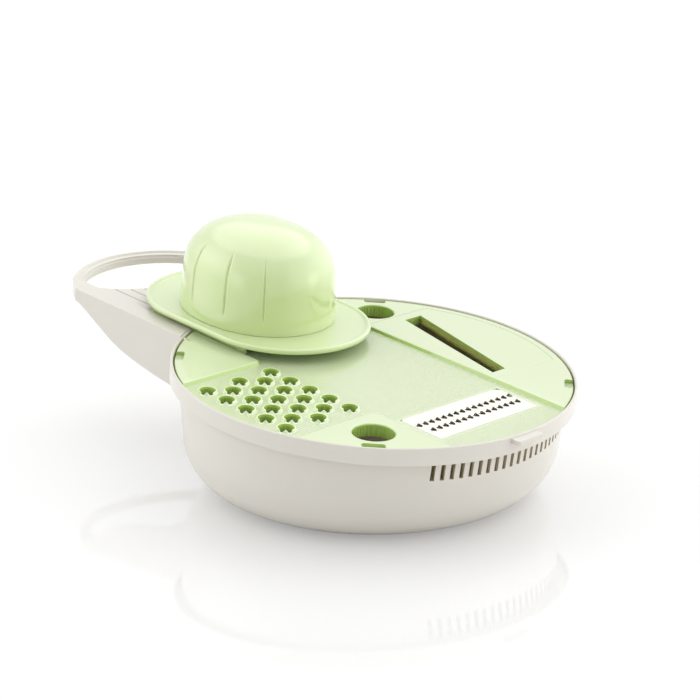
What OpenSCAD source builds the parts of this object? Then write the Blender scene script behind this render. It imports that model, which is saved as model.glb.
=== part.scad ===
// Round mandoline slicer: a handled draining basin, a round slicing plate with a
// shredding insert, and a hat-shaped hand guard that rides along the plate's track.
// Z is up. The origin is the centre of the basin's foot, on the table.
// The rim of the basin is tilted: it is higher at the handle (-X) than at the vents (+X).

/* [Basin] */
// Outer radius of the rim band
rim_r = 125; // [118:1:132]
// Height of the rim's centre above the table
rim_z = 75.6; // [70:0.2:90]
// How far the rim's centre lies in front of the foot's centre
rim_shift = 2; // [0:0.25:2.5]
// Downward tilt of the rim towards the vents, in degrees
rim_tilt = 4.5; // [3:0.5:6]
// Wall thickness of the basin
basin_wall = 2.2; // [1.8:0.2:3]
// How far the wall's foot lies in from the rim's outer edge
wall_in = 8.5; // [8:0.1:10]
// Radius of the round corner between floor and wall
corner_r = 35; // [31:1:37]
// How much the wall widens above the corner, per mm of height
wall_flare = 0.066; // [0.05:0.002:0.08]
// Height of the rim band
band_h = 11; // [8:0.5:14]
// Thickness of the rim band
band_t = 2; // [1.6:0.2:2.4]
// Thickness of the ledge that carries the plate
ledge_t = 2; // [1.6:0.2:2.6]
// How far the ledge's inner edge lies in from the rim's outer edge
ledge_in = 12.2; // [12:0.1:15]
// Length of the lift tab along the rim
tab_w = 22; // [14:1:30]
// Reach of the lift tab beyond the rim
tab_reach = 5.5; // [4:0.5:8]
// Thickness of the lift tab
tab_t = 3; // [2:0.5:4]

/* [Vents] */
// Number of drain slots
vent_count = 20; // [8:1:24]
// Angle between neighbouring slots, in degrees
vent_pitch = 3; // [2.5:0.25:4]
// Width of a slot
vent_w = 2.8; // [1.6:0.2:3]
// Height of a slot
vent_h = 12; // [8:0.5:16]
// Lean of the slots, in degrees
vent_lean = 6; // [0:1:10]
// Turn of the whole row of slots towards +Y, in degrees
vent_turn = 1; // [-3:0.5:3]

/* [Foot] */
// Width of the floor left around the non-slip pad
foot_in = 7.5; // [5:0.5:30]
// Depth of its recess in the basin's floor
foot_recess = 1; // [0.6:0.1:1.2]
// How far the pad stands out below the floor
foot_proud = 0.6; // [0.4:0.1:1.2]

/* [Handle] */
// Width of each of the two arms, beside the track
arm_w = 14; // [11:0.5:16]
// Distance from the rim's edge to the centre of the grip's bow
bow_reach = 62.5; // [56:0.5:70]
// How much the bow's radius exceeds half of the handle's width
bow_bulge = 4; // [3:0.5:7]
// Thickness of the bow, seen from above
bow_t = 7; // [5:0.5:9]
// Height of the bow's bar
bow_h = 8; // [6:0.5:10]
// How far the bow's top lies below the rim's top
bow_drop = 1.5; // [0:0.5:2.5]
// Radius of the hand opening's edge towards the bowl
hand_r = 59; // [55:0.5:62]
// Distance from the bow's centre to the centre of that edge
hand_off = 62.5; // [60:0.5:66]
// Thickness of the handle's side webs
web_t = 2.6; // [2:0.2:3.4]
// Depth of the webs at the bowl
web_deep = 36; // [28:1:42]
// Spacing of the grooves in the handle's deck
deck_pitch = 8.5; // [6:0.5:12]

/* [Plate] */
// Gap between the plate's edge and the rim band
plate_gap = 0.8; // [0.4:0.1:1.8]
// How far the plate's top lies below the rim's top
plate_drop = 0.8; // [0.4:0.1:1.2]
// Thickness of the plate at its edge
plate_t = 5.4; // [4.8:0.1:6.4]
// Skin thickness of the plate over its hollow underside
plate_skin = 2.2; // [1.8:0.1:2.4]
// Width of the guard's track between the upper edges of its walls
track_w = 100; // [96:1:104]
// Depth of the track
track_deep = 2.3; // [1.8:0.1:2.6]
// Width of the grating field
grate_w = 100; // [96:1:106]
// Radius of a finger hole
finger_r = 12.5; // [10:0.5:12.5]
// Distance of the finger holes' centres from the plate's edge
finger_in = 22.2; // [22.2:0.2:24.6]
// Depth of the collar around a finger hole
finger_deep = 9; // [8:0.5:12]
// Wall of that collar
finger_wall = 1; // [0.8:0.1:1]
// Width of the four notches in the plate's edge
notch_w = 14; // [10:1:18]
// Depth of the notches
notch_d = 5.6; // [3.6:0.1:6.6]

/* [Grater] */
// Distance of the first row of grating holes from the track's edge
grate_off = 4.4; // [3:0.1:6]
// Distance of the last row from the plate's edge
grate_edge = 16.8; // [14:0.1:20.6]
// Distance of a long row's end holes from the field's sides
grate_side = 15.7; // [13:0.1:20]
// Radius of a grating hole
grate_r = 4.85; // [3.5:0.05:5]
// Wall of the toothed crown around a hole
crown_t = 1.1; // [0.8:0.1:1.4]
// Height of the crown's teeth
crown_h = 2; // [1:0.1:2.4]

/* [Slicing panel] */
// Width of the slicing panel
panel_w = 112; // [108:1:116]
// Width of the plate left outside the panel's round edge
panel_in = 5.2; // [3.6:0.1:9.6]
// Seam between the panel and the plate
panel_seam = 0.25; // [0.1:0.05:0.4]
// Length of the slanted slot
slot_l = 96; // [84:1:100]
// Width of the slot at its middle
slot_w = 12.8; // [9:0.1:14]
// Slant of the slot, in degrees
slot_slant = 13; // [8:1:15]
// Distance of the slot's middle from the track's edge
slot_off = 22; // [20:0.5:26]
// Thickness of the slicing blade
blade_t = 0.8; // [0.5:0.1:1]
// Width of the slicing blade
blade_w = 15; // [12:0.5:17]
// How far the blade's edge stands out into the slot
blade_edge = 1.2; // [0.8:0.1:2]
// Room that the blade leaves around a screw beside it
blade_gap = 0.6; // [0.4:0.1:1.5]

/* [Shredder] */
// Width of the steel shredder plate
shred_w = 33.5; // [30:0.5:34]
// Width of the track's floor left beyond each end of the steel
shred_end = 5.7; // [5.2:0.1:8]
// Distance of the steel's outer side from the plate's edge
shred_edge = 24.9; // [22:0.1:32.6]
// Thickness of its steel
shred_t = 0.6; // [0.4:0.1:0.8]
// Distance of a long row's end teeth from the ends of the steel
tooth_end = 3; // [2.6:0.1:8]
// Spacing of the two rows of teeth
tooth_row = 9; // [8:0.1:10]
// Number of teeth in the longer row
tooth_count = 16; // [8:1:16]
// Height of the teeth
tooth_h = 1.3; // [0.8:0.1:1.4]
// Width of the plastic frame's long sides under the steel
frame_side = 4; // [2:0.5:5]
// Width of the frame's short ends
frame_end = 1; // [0.6:0.1:1.1]
// Height of the frame
frame_h = 1.3; // [1:0.1:1.6]
// Clearance around the insert in its window
insert_gap = 0.4; // [0.3:0.05:0.6]

/* [Guard] */
// How far the resting guard's middle lies in from the rim's edge at the handle
guard_in = 18; // [15:0.5:25]
// Length of the brim's straight sides
brim_mid = 54; // [48:1:60]
// How far the brim reaches over the track's edge on each side
brim_over = 4; // [3:0.5:6]
// Thickness of the brim
brim_t = 2; // [1.6:0.1:2.4]
// Gap between the rim's top and the brim's edge
brim_gap = 2.6; // [2:0.1:3]
// Height of the brim's raised lip
lip_h = 3.8; // [3.2:0.1:4.4]
// Thickness of the lip
lip_t = 2.4; // [2:0.1:3]
// Length of the dome's straight sides
dome_mid = 16.6; // [12:0.2:20]
// How far the dome's side lies in from the track's edge
dome_in = 5; // [4:0.5:7]
// Height of the dome above the brim's face
dome_h = 59.4; // [54:0.2:66]
// Wall thickness of the dome
dome_t = 2.2; // [1.8:0.1:2.6]
// Height at which the dome starts to round over
dome_shoulder = 25; // [20:0.5:30]
// How far the brim reaches in under the dome, around the mouth
mouth_in = 9; // [8.6:0.2:12]
// Clearance between a runner and the track
runner_gap = 0.5; // [0.3:0.05:0.8]
// Width of a runner
runner_w = 3.2; // [2.4:0.1:3.6]
// Reach of the runners towards the handle
runner_back = 48; // [36:1:50]
// Reach of the runners towards the vents
runner_front = 40; // [30:1:46]

/* [Holder] */
// Height of the holder plate's underside above the brim's face
holder_z = 29; // [26:0.5:31]
// Thickness of the holder plate
holder_t = 2.4; // [2:0.1:3]
// Gap between the holder plate and the dome's wall
holder_gap = 1; // [0.6:0.1:2]
// Radius of a holding pin
pin_r = 0.9; // [0.7:0.05:1.2]
// Length of a holding pin below the holder plate
pin_l = 24; // [16:0.5:25]
// Spacing of the holding pins
pin_pitch = 17; // [13:0.5:18]

/* [Screws] */
// Core radius of the self-tapping screws
screw_r = 1.3; // [1.1:0.1:1.5]
// Radius of the screw heads
head_r = 2.6; // [2.2:0.1:2.8]
// Height of the screw heads
head_h = 1.6; // [1.2:0.1:1.8]
// Wall of the bosses around the screws
boss_wall = 1.7; // [1.4:0.1:2.2]

/* [Hidden] */
$fn = 96;
eps = 0.01;
over = 1;                                  // how far a cutter runs past what it cuts
lay = 0.3;                                 // gap under a piece that rests by its weight

plate_r = rim_r - band_t - plate_gap;      // outer radius of the plate
ledge_r = rim_r - ledge_in;
wall_foot_r = rim_r - wall_in;
floor_r = wall_foot_r - corner_r;
foot_r = floor_r - foot_in;                // radius of the non-slip pad
plate_top = -plate_drop;
plate_low = plate_top - plate_t;
ledge_top = plate_low - lay;
ledge_low = ledge_top - ledge_t;
track_z = plate_top - track_deep;          // floor of the track and of the handle's deck
track_floor_w = track_w - 2 * track_deep;
track_low = track_z - plate_skin;          // underside of the track's floor
panel_low = plate_top - plate_skin - 0.2;  // underside of the slicing panel
panel_y = track_w / 2;
wall_foot_z = foot_proud + corner_r;       // where the corner turns into the wall
wall_top_z = rim_z + rim_r * sin(rim_tilt) + over;
wall_top_r = wall_foot_r + wall_flare * (wall_top_z - wall_foot_z);
vent_top = -band_h - 1;
handle_w = track_w + 2 * arm_w;
bow_x = rim_r + bow_reach;                 // the bow's centre, from the rim's centre
bow_r = handle_w / 2 + bow_bulge;
hand_x = bow_x + hand_off;
bow_top = -bow_drop;
bow_low = bow_top - bow_h;
bow_in_r = bow_r - bow_t;
deck_t = 2.5;
deck_low = track_z - deck_t;
deck_groove_w = 0.8;
deck_groove_d = 0.5;
arm_end_x = -bow_x - bow_r * cos(42);      // where the raised arms stop on the bow
arm_root = rim_r - 40;                     // the handle starts inside the bowl, which is cut out
arm_hollow_w = 8.4;                        // width of the hollow under each raised arm
arm_hollow_root = rim_r - 15;
groove_end = bow_x + bow_in_r / 2;         // the deck's grooves run out into the hand opening
track_in = rim_r + 2;                      // reach of the track's cut through the rim
finger_at = [-45, 135];
key_gap = 0.4;                             // room around a finger collar in the ledge
notch_at = [-135, -45, 42, 135];
finger_x = plate_r - finger_in;
underside_ring = 4.4;                      // solid ring at the plate's edge
rib_t = 1.8;
slot_end_grow = 1.4;                       // half the slot widens this much towards -X
blade_l = slot_l + 2;
pocket_play = 0.15;
panel_r = plate_r - panel_in;
slot_y = panel_y + slot_off;
grate_counts = [5, 4, 5, 4, 5];
grate_first = track_w / 2 + grate_off;
grate_row = (plate_r - grate_edge - grate_first) / (len(grate_counts) - 1);
grate_pitch = (grate_w - 2 * grate_side) / (grate_counts[0] - 1);
crown_teeth = 8;
shred_l = track_floor_w - 2 * shred_end;
shred_x = plate_r - shred_edge - shred_w / 2;
tooth_r = 1.6;
tooth_pitch = (shred_l - 2 * tooth_end) / (tooth_count - 1);
tooth_x = shred_x - 0.7;                   // middle between the two rows of teeth
guard_x = rim_r - guard_in;
brim_w = track_w + 2 * brim_over;
dome_b = track_w / 2 - dome_in;            // half width of the dome at its base
guard_face = brim_gap + lip_h - 1.4;       // top face of the brim
brim_low = guard_face - brim_t;
boss_r = screw_r + boss_wall;
pilot_r = screw_r + 0.05;
clear_r = screw_r + 0.3;
dome_half_x = dome_mid / 2;
boss_turn = 50;                            // place of the bosses around the dome's ends
boss_reach = dome_b - dome_t - boss_r + 0.6;
boss_x = dome_half_x + boss_reach * cos(boss_turn);
boss_y = boss_reach * sin(boss_turn);
screw_l = 9;
boss_h = screw_l + 3;
hold_boss_x = 17;
holder_low = guard_face + holder_z;
panel_boss_x = panel_w / 2 - 4.5;
panel_boss_y = [panel_y + 8, sqrt(pow(panel_r - 7.2, 2) - pow(panel_boss_x, 2))];
panel_screw_top = plate_top - 1;
insert_low = track_z - shred_t - frame_h;  // ledge that carries the insert
dome_power = 2.42;                         // squareness of the dome's shoulder
dome_draft = 0.05;
dome_steps = 14;

// ---------------------------------------------------------------- frames

// Everything on the rim is drawn in the rim's own tilted frame: Z = 0 is the rim's top.
module on_rim() {
    translate([rim_shift, 0, rim_z]) rotate([0, rim_tilt, 0]) children();
}

// The guard's pieces are drawn around the guard's own middle.
module on_guard() {
    on_rim() translate([-guard_x, 0, 0]) children();
}

// A cylinder between two heights.
module disc(r, z_low, z_high) {
    translate([0, 0, z_low]) cylinder(r = r, h = z_high - z_low);
}

// Calls its children once at each finger hole.
module at_fingers() {
    for (a = finger_at) rotate([0, 0, a]) translate([finger_x, 0, 0]) children();
}

// A block given by its middle in X and Y and by two heights.
module block(x, y, w, l, z_low, z_high) {
    translate([x - w / 2, y - l / 2, z_low]) cube([w, l, z_high - z_low]);
}

// ---------------------------------------------------------------- basin

// Half section of the basin, filled, shrunk by the given wall.
module basin_half(wall) {
    base_z = foot_proud + wall;
    r = corner_r - wall;
    translate([0, base_z]) square([floor_r, r]);
    translate([floor_r, base_z + r]) intersection() {
        circle(r = r);
        translate([0, -r]) square(r);
    }
    polygon([
        [0, base_z + r],
        [floor_r + r, base_z + r],
        [wall_top_r - wall, wall_top_z],
        [0, wall_top_z]
    ]);
}

// The basin as a solid, shrunk by the given wall and cut off at a height on the rim's axis.
module basin_body(wall, top) {
    intersection() {
        rotate_extrude() basin_half(wall);
        on_rim() translate([0, 0, top - 2 * rim_z]) cylinder(r = 1.6 * rim_r, h = 2 * rim_z);
    }
}

// Section of the rim: band with a round top edge, and the ledge inside it, still too wide.
module rim_half() {
    top_r = band_t / 2;
    translate([rim_r - band_t, -band_h]) square([band_t, band_h - top_r]);
    translate([rim_r - top_r, -top_r]) circle(r = top_r);
    translate([ledge_r - 8, ledge_low]) square([rim_r - band_t / 2 - ledge_r + 8, ledge_t]);
}

module vents() {
    for (i = [0 : vent_count - 1])
        rotate([0, 0, (i - (vent_count - 1) / 2) * vent_pitch + vent_turn])
            translate([wall_foot_r, 0, vent_top - vent_h / 2])
                rotate([-vent_lean, 0, 0])
                    cube([24, vent_w, vent_h], center = true);
}

// Cutter that lets the guard's runners through the rim on the handle's side.
module rim_passage() {
    translate([-track_in - over, 0, 0]) track_cutter(track_in - ledge_r + 6);
}

module lift_tab() {
    corner = 2;
    x = rim_r - band_t / 2;
    reach = tab_reach + band_t / 2;
    difference() {
        union() {
            block(x + (reach - corner) / 2, 0, reach - corner, tab_w, -1 - tab_t, -1);
            block(x + reach / 2, 0, reach, tab_w - 2 * corner, -1 - tab_t, -1);
            for (side = [-1, 1])
                translate([x + reach - corner, side * (tab_w / 2 - corner), 0])
                    disc(corner, -1 - tab_t, -1);
        }
        disc(rim_r - band_t / 2, -1 - tab_t - over, over);
    }
}

module basin_bowl() {
    color("#dcd9cf") difference() {
        union() {
            basin_body(0, ledge_low + ledge_t / 2);
            on_rim() rotate_extrude() rim_half();
            on_rim() lift_tab();
        }
        basin_body(basin_wall, ledge_low);
        on_rim() disc(ledge_r, ledge_low - over, over);
        // recesses in the ledge that key the plate by its finger collars
        on_rim() at_fingers() disc(finger_r + finger_wall + key_gap, ledge_low - over, over);
        on_rim() vents();
        on_rim() rim_passage();
        disc(foot_r, -over, foot_proud + foot_recess);
    }
}

module non_slip_pad() {
    color("#c9c8c4") disc(foot_r, 0, foot_proud + foot_recess);
}

// ---------------------------------------------------------------- handle

// The handle's outline from above, without its hand opening.
module handle_plan() {
    intersection() {
        union() {
            translate([-bow_x, 0]) circle(r = bow_r);
            translate([-bow_x, -handle_w / 2]) square([bow_x - arm_root, handle_w]);
        }
        translate([-bow_x - bow_r, -handle_w / 2]) square([bow_x + bow_r, handle_w]);
    }
}

module hand_opening() {
    intersection() {
        translate([-bow_x, 0]) circle(r = bow_in_r);
        translate([-hand_x, 0]) circle(r = hand_r);
    }
}

// Side view of a web: deepest at the bowl, running out along the arm.
module web_side() {
    tip_x = -bow_x - 22;
    polygon([
        [tip_x - 4, -1], [tip_x - 4, bow_low + 1], [tip_x, bow_low],
        [-bow_x + 11.5, deck_low - web_deep * 0.54], [-rim_r - 32, deck_low - web_deep * 0.68],
        [-rim_r - 8, deck_low - web_deep * 0.79], [-rim_r + 25, deck_low - web_deep * 0.86],
        [-rim_r + 25, -1]
    ]);
}

module basin_handle() {
    color("#e2dfd6") difference() {
        union() {
            // deck and raised arms
            on_rim() intersection() {
                translate([0, 0, deck_low]) linear_extrude(-deck_low) difference() {
                    handle_plan();
                    hand_opening();
                }
                block(arm_end_x / 2, 0, -arm_end_x, handle_w, deck_low, 0);
            }
            // bow
            on_rim() translate([0, 0, bow_low]) linear_extrude(bow_h) difference() {
                intersection() {
                    handle_plan();
                    translate([-bow_x - bow_r, -handle_w / 2]) square([bow_r - 16, handle_w]);
                }
                translate([-bow_x, 0]) circle(r = bow_in_r);
            }
            // webs
            for (side = [-1, 1]) on_rim()
                translate([0, side * (handle_w - web_t) / 2, 0]) rotate([90, 0, 0])
                    translate([0, 0, -web_t / 2]) linear_extrude(web_t) web_side();
        }
        // the guard's track runs on over the deck
        on_rim() translate([-bow_x - bow_r, 0, 0]) track_cutter(bow_x + bow_r - rim_r + 20);
        // grooves along the deck
        on_rim() for (i = [-4.5 : 4.5])
            block(-(groove_end + arm_root) / 2, i * deck_pitch, groove_end - arm_root,
                deck_groove_w, track_z - deck_groove_d, 0);
        // hollow underside of the raised arms
        for (side = [-1, 1]) on_rim()
            block(-(bow_x + arm_hollow_root) / 2,
                side * (handle_w / 2 - web_t - arm_hollow_w / 2),
                bow_x - arm_hollow_root, arm_hollow_w, deck_low - over, -deck_t);
        // room for the band and the bowl
        on_rim() disc(rim_r, -band_h, over);
        rotate_extrude() basin_half(0);
    }
}

// ---------------------------------------------------------------- plate

// Cutter for a track along X: from x = 0, with walls that lean out at 45 degrees.
module track_cutter(l) {
    rise = over - track_z;
    translate([0, 0, track_z]) rotate([90, 0, 90]) linear_extrude(l) polygon([
        [-track_floor_w / 2, 0], [track_floor_w / 2, 0],
        [track_floor_w / 2 + rise, rise], [-track_floor_w / 2 - rise, rise]
    ]);
}

// Cutter for the grating field, from the track to the plate's edge.
module grate_cutter() {
    floor_w = grate_w - 2 * track_deep;
    rise = over - track_z;
    translate([0, -track_w / 2 + 10, track_z]) rotate([90, 0, 0])
        linear_extrude(plate_r) polygon([
            [-floor_w / 2, 0], [floor_w / 2, 0],
            [floor_w / 2 + rise, rise], [-floor_w / 2 - rise, rise]
        ]);
}

// Calls its children once at each grating hole.
module at_grate_holes() {
    for (row = [0 : len(grate_counts) - 1])
        for (i = [0 : grate_counts[row] - 1])
            translate([
                (i - (grate_counts[row] - 1) / 2) * grate_pitch,
                -grate_first - row * grate_row,
                0
            ]) children();
}

// A ring of square-cut teeth around one grating hole.
module crown() {
    difference() {
        disc(grate_r + crown_t, track_z - eps, track_z + crown_h);
        disc(grate_r, track_z - over, track_z + crown_h + over);
        for (i = [0 : crown_teeth / 2 - 1]) rotate([0, 0, (i + 0.5) * 360 / crown_teeth])
            block(0, 0, 3 * grate_r, grate_r * 0.42, track_z + crown_h * 0.35,
                track_z + crown_h + over);
    }
}

// Outline of the slanted slot, grown by the given amount.
module slot_plan(grow) {
    half = slot_l / 2 + grow;
    rise = tan(slot_slant) * half;
    wide = slot_w / 2 + grow + slot_end_grow / 2;
    tight = slot_w / 2 + grow - slot_end_grow / 2;
    translate([0, slot_y]) polygon([
        [-half, rise - wide], [half, -rise - tight], [half, -rise + tight], [-half, rise + wide]
    ]);
}

// Outline of the slicing panel, shrunk by the given amount.
module panel_plan(shrink) {
    intersection() {
        circle(r = panel_r - shrink);
        translate([-panel_w / 2 + shrink, panel_y + shrink])
            square([panel_w - 2 * shrink, panel_r]);
    }
}

module at_panel_bosses() {
    for (y = panel_boss_y) for (side = [-1, 1]) translate([side * panel_boss_x, y, 0]) children();
}

// Hollow spaces in the plate's underside: shallow below the track, deep in the raised parts.
module plate_hollows() {
    inner = plate_r - underside_ring;
    half = track_floor_w / 2;
    difference() {
        union() {
            disc(inner, plate_low - over, track_low);
            intersection() {
                disc(inner, plate_low - over, plate_top - plate_skin);
                for (x = [-1, 1]) {
                    translate([x * (panel_w / 2 + 2 + plate_r / 2), track_w / 2 + 2 + plate_r / 2, -10])
                        cube([plate_r, plate_r, 20], center = true);
                    translate([x * (grate_w / 2 + 2 + plate_r / 2), -track_w / 2 - 2 - plate_r / 2, -10])
                        cube([plate_r, plate_r, 20], center = true);
                }
            }
        }
        // ribs and solid places
        block(0, 0, rib_t, 2 * plate_r, plate_low, 0);
        for (side = [-1, 1]) block(0, side * half, 2 * plate_r, rib_t, plate_low, 0);
        block(shred_x, 0, shred_w + 2 * underside_ring, shred_l + 2 * underside_ring,
            plate_low, 0);
        at_fingers() disc(finger_r + finger_wall, plate_low, 0);
        at_grate_holes() disc(grate_r + crown_t, plate_low, 0);
        at_panel_bosses() disc(boss_r, plate_low, 0);
        translate([0, 0, plate_low]) linear_extrude(plate_t) slot_plan(boss_wall);
    }
}

module slicer_plate() {
    color("#dcebbf") on_rim() difference() {
        union() {
            difference() {
                disc(plate_r, plate_low, plate_top);
                translate([-plate_r - over, 0, 0]) track_cutter(2 * plate_r + 2 * over);
                grate_cutter();
                plate_hollows();
            }
            at_grate_holes() crown();
            at_fingers() disc(finger_r + finger_wall, -finger_deep, track_low);
        }
        // finger holes
        at_fingers() disc(finger_r, -finger_deep - over, over);
        at_grate_holes() disc(grate_r, plate_low - over, over);
        // notches in the edge
        for (a = notch_at) rotate([0, 0, a])
            block(plate_r - notch_d / 2 + over / 2, 0, notch_d + over, notch_w,
                track_z, over);
        // seat of the slicing panel, with its slot and the blade's pocket
        translate([0, 0, panel_low]) linear_extrude(-panel_low + over) panel_plan(0);
        translate([0, 0, plate_low - over]) linear_extrude(plate_t) slot_plan(0);
        blade_solid(pocket_play);
        at_panel_bosses() disc(clear_r, plate_low - over, 0);
        at_panel_bosses() disc(head_r + 0.3, plate_low - over, plate_low + head_h);
        // window of the shredding insert
        block(shred_x, 0, shred_w + 2 * insert_gap, shred_l + 2 * insert_gap,
            insert_low, over);
        block(shred_x, 0, shred_w - 2 * frame_side, shred_l - 2 * frame_end,
            plate_low - over, over);
    }
}

// The slicing blade's plan runs along the slot's far edge.
module blade_solid(play) {
    angle = atan(tan(slot_slant) + slot_end_grow / slot_l);
    y = slot_y + slot_w / 2;
    translate([0, y, 0]) rotate([0, 0, -angle])
        block(0, blade_w / 2 - blade_edge, blade_l + 2 * play, blade_w + 2 * play,
            panel_low - blade_t - play, panel_low + (play > 0 ? eps : 0));
}

module slicing_panel() {
    color("#e3f0c9") on_rim() difference() {
        translate([0, 0, panel_low]) linear_extrude(plate_top - panel_low)
            panel_plan(panel_seam);
        translate([0, 0, panel_low - over]) linear_extrude(plate_t) slot_plan(0);
        at_panel_bosses() disc(pilot_r, panel_low - over, panel_screw_top + 0.1);
    }
}

module slicing_blade() {
    color("#d9d8d4") on_rim() difference() {
        blade_solid(0);
        at_panel_bosses() disc(screw_r + blade_gap, plate_low, plate_top);
    }
}

// One screw, head down, from the given head height.
module screw(z_head, l) {
    disc(head_r, z_head, z_head + head_h);
    disc(screw_r, z_head + head_h, z_head + head_h + l);
}

module panel_screw(i) {
    side = (i % 2 == 0) ? -1 : 1;
    y = panel_boss_y[i < 2 ? 0 : 1];
    color("#bdbdb8") on_rim() translate([side * panel_boss_x, y, 0])
        screw(plate_low, panel_screw_top - plate_low - head_h);
}

// ---------------------------------------------------------------- shredding insert

module at_teeth() {
    for (row = [0, 1]) for (i = [0 : tooth_count - 1 - row])
        translate([
            tooth_x + (row - 0.5) * tooth_row,
            (i - (tooth_count - 1 - row) / 2) * tooth_pitch,
            0
        ]) children();
}

module shredder_blade() {
    low = track_z - shred_t;
    color("#ecebe7") on_rim() difference() {
        union() {
            block(shred_x, 0, shred_w, shred_l, low, track_z);
            at_teeth() translate([-tooth_r, 0, track_z]) rotate([0, -24, 0])
                block(tooth_r / 2, 0, 2 * tooth_r, 1.9 * tooth_r, -shred_t, 0);
        }
        at_teeth() translate([tooth_r * 0.7, 0, 0]) disc(tooth_r * 0.85, low - over, track_z + eps);
    }
}

module shredder_frame() {
    high = insert_low + frame_h;
    color("#cfe3a8") on_rim() difference() {
        block(shred_x, 0, shred_w, shred_l, insert_low, high);
        block(shred_x, 0, shred_w - 2 * frame_side, shred_l - 2 * frame_end,
            insert_low - over, high + over);
    }
}

// ---------------------------------------------------------------- guard

// The brim's outline: straight sides with half-round ends.
module brim_plan(shrink) {
    r = brim_w / 2 - shrink;
    half = brim_mid / 2;
    for (side = [-1, 1]) translate([side * half, 0]) circle(r = r);
    translate([-half, -r]) square([2 * half, 2 * r]);
}

// Outline of the dome, shrunk by the given amount: half-round ends, straight middle.
module dome_plan(shrink) {
    r = dome_b - shrink;
    for (side = [-1, 1]) translate([side * dome_half_x, 0]) circle(r = r);
    translate([-dome_half_x, -r]) square([2 * dome_half_x, 2 * r]);
}

module at_guard_bosses() {
    for (x = [-1, 1]) for (y = [-1, 1]) translate([x * boss_x, y * boss_y, 0]) children();
}

module guard_brim() {
    track_side = track_floor_w / 2 - runner_gap;
    color("#bfe08c") on_guard() difference() {
        union() {
            translate([0, 0, brim_low]) linear_extrude(brim_t) brim_plan(lip_t / 2);
            translate([0, 0, brim_gap]) linear_extrude(lip_h) difference() {
                brim_plan(0);
                brim_plan(lip_t);
            }
            for (side = [-1, 1]) translate([0, side * (track_side - runner_w / 2), 0])
                block((runner_front - runner_back) / 2, 0, runner_front + runner_back, runner_w,
                    track_z + lay, brim_low + eps);
        }
        // mouth for the food
        translate([0, 0, track_z]) linear_extrude(20) dome_plan(mouth_in);
        at_guard_bosses() disc(clear_r, brim_low - over, guard_face + over);
    }
}

// Half width and height along the dome's shoulder, for a shell shrunk by the given amount.
function dome_edge(shrink) = [
    for (i = [0 : dome_steps]) let(
        u = sin(90 * i / dome_steps),
        z = dome_shoulder + (dome_h - shrink - dome_shoulder) * u,
        s = pow(max(0, 1 - pow(u, dome_power)), 1 / dome_power))
    [(dome_b - shrink - dome_draft * z) * s, z]
];

// The dome's half section from the given low end.
module dome_half(shrink, low) {
    polygon(concat([[0, low], [dome_b - shrink, low]], dome_edge(shrink)));
}

// The dome as a solid: two half-round ends and a straight middle.
module dome_solid(shrink, low) {
    for (side = [0, 180]) rotate([0, 0, side]) {
        translate([dome_half_x, 0, 0]) rotate([0, 0, -90]) rotate_extrude(angle = 180)
            dome_half(shrink, low);
        rotate([90, 0, 90]) translate([0, 0, -dome_half_x]) linear_extrude(2 * dome_half_x)
            dome_half(shrink, low);
    }
}

module at_holder_bosses() {
    for (side = [-1, 1]) translate([side * hold_boss_x, 0, 0]) children();
}

module guard_cap() {
    color("#b9dd84") on_guard() difference() {
        union() {
            translate([0, 0, guard_face]) difference() {
                dome_solid(0, 0);
                dome_solid(dome_t, -over);
            }
            at_guard_bosses() disc(boss_r, guard_face, guard_face + boss_h);
            intersection() {
                at_holder_bosses() disc(boss_r, holder_low + holder_t, guard_face + dome_h);
                translate([0, 0, guard_face]) dome_solid(dome_t / 2, 0);
            }
        }
        at_guard_bosses() disc(pilot_r, guard_face - over, guard_face + boss_h - 1);
        at_holder_bosses() disc(pilot_r, holder_low, holder_low + screw_l + 1);
    }
}

module prong_plate() {
    color("#cfe8a6") on_guard() difference() {
        translate([0, 0, holder_low]) linear_extrude(holder_t)
            dome_plan(dome_t + holder_gap + dome_draft * (holder_z + holder_t) + 1.5);
        at_holder_bosses() disc(clear_r, holder_low - over, holder_low + holder_t + over);
        at_pins() disc(pin_r, holder_low - over, holder_low + holder_t / 2);
    }
}

module at_pins() {
    for (x = [-1.5 : 1.5]) for (y = [-1 : 1])
        translate([x * pin_pitch, y * pin_pitch, 0]) children();
}

module holding_pins() {
    tip = 3;
    z = holder_low - pin_l;
    color("#d9d8d4") on_guard() at_pins() {
        disc(pin_r, z + tip, holder_low + holder_t / 2);
        translate([0, 0, z]) cylinder(r1 = 0.2, r2 = pin_r, h = tip);
    }
}

module guard_screw(i) {
    x = (i % 2 == 0) ? -boss_x : boss_x;
    y = i < 2 ? -boss_y : boss_y;
    color("#bdbdb8") on_guard() translate([x, y, 0]) screw(brim_low - head_h, screw_l);
}

module holder_screw(i) {
    x = i == 0 ? -hold_boss_x : hold_boss_x;
    color("#bdbdb8") on_guard() translate([x, 0, 0])
        screw(holder_low - head_h, screw_l);
}

// ---------------------------------------------------------------- assembly

basin_bowl();
basin_handle();
non_slip_pad();
slicer_plate();
slicing_panel();
slicing_blade();
panel_screw(0);  // panel_screw_1
panel_screw(1);  // panel_screw_2
panel_screw(2);  // panel_screw_3
panel_screw(3);  // panel_screw_4
shredder_frame();
shredder_blade();
guard_brim();
guard_cap();
prong_plate();
holding_pins();
guard_screw(0);  // guard_screw_1
guard_screw(1);  // guard_screw_2
guard_screw(2);  // guard_screw_3
guard_screw(3);  // guard_screw_4
holder_screw(0);  // holder_screw_1
holder_screw(1);  // holder_screw_2
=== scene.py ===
"""Dresses the round mandoline slicer: a pale green slicing plate and hat-shaped guard on a cream basin.

Sizes inside the operators are in millimetres in the rim's own tilted frame, where Z = 0 is the
rim's top. dress() brings a finished piece into the model's frame, in metres.
"""
import math

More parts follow.
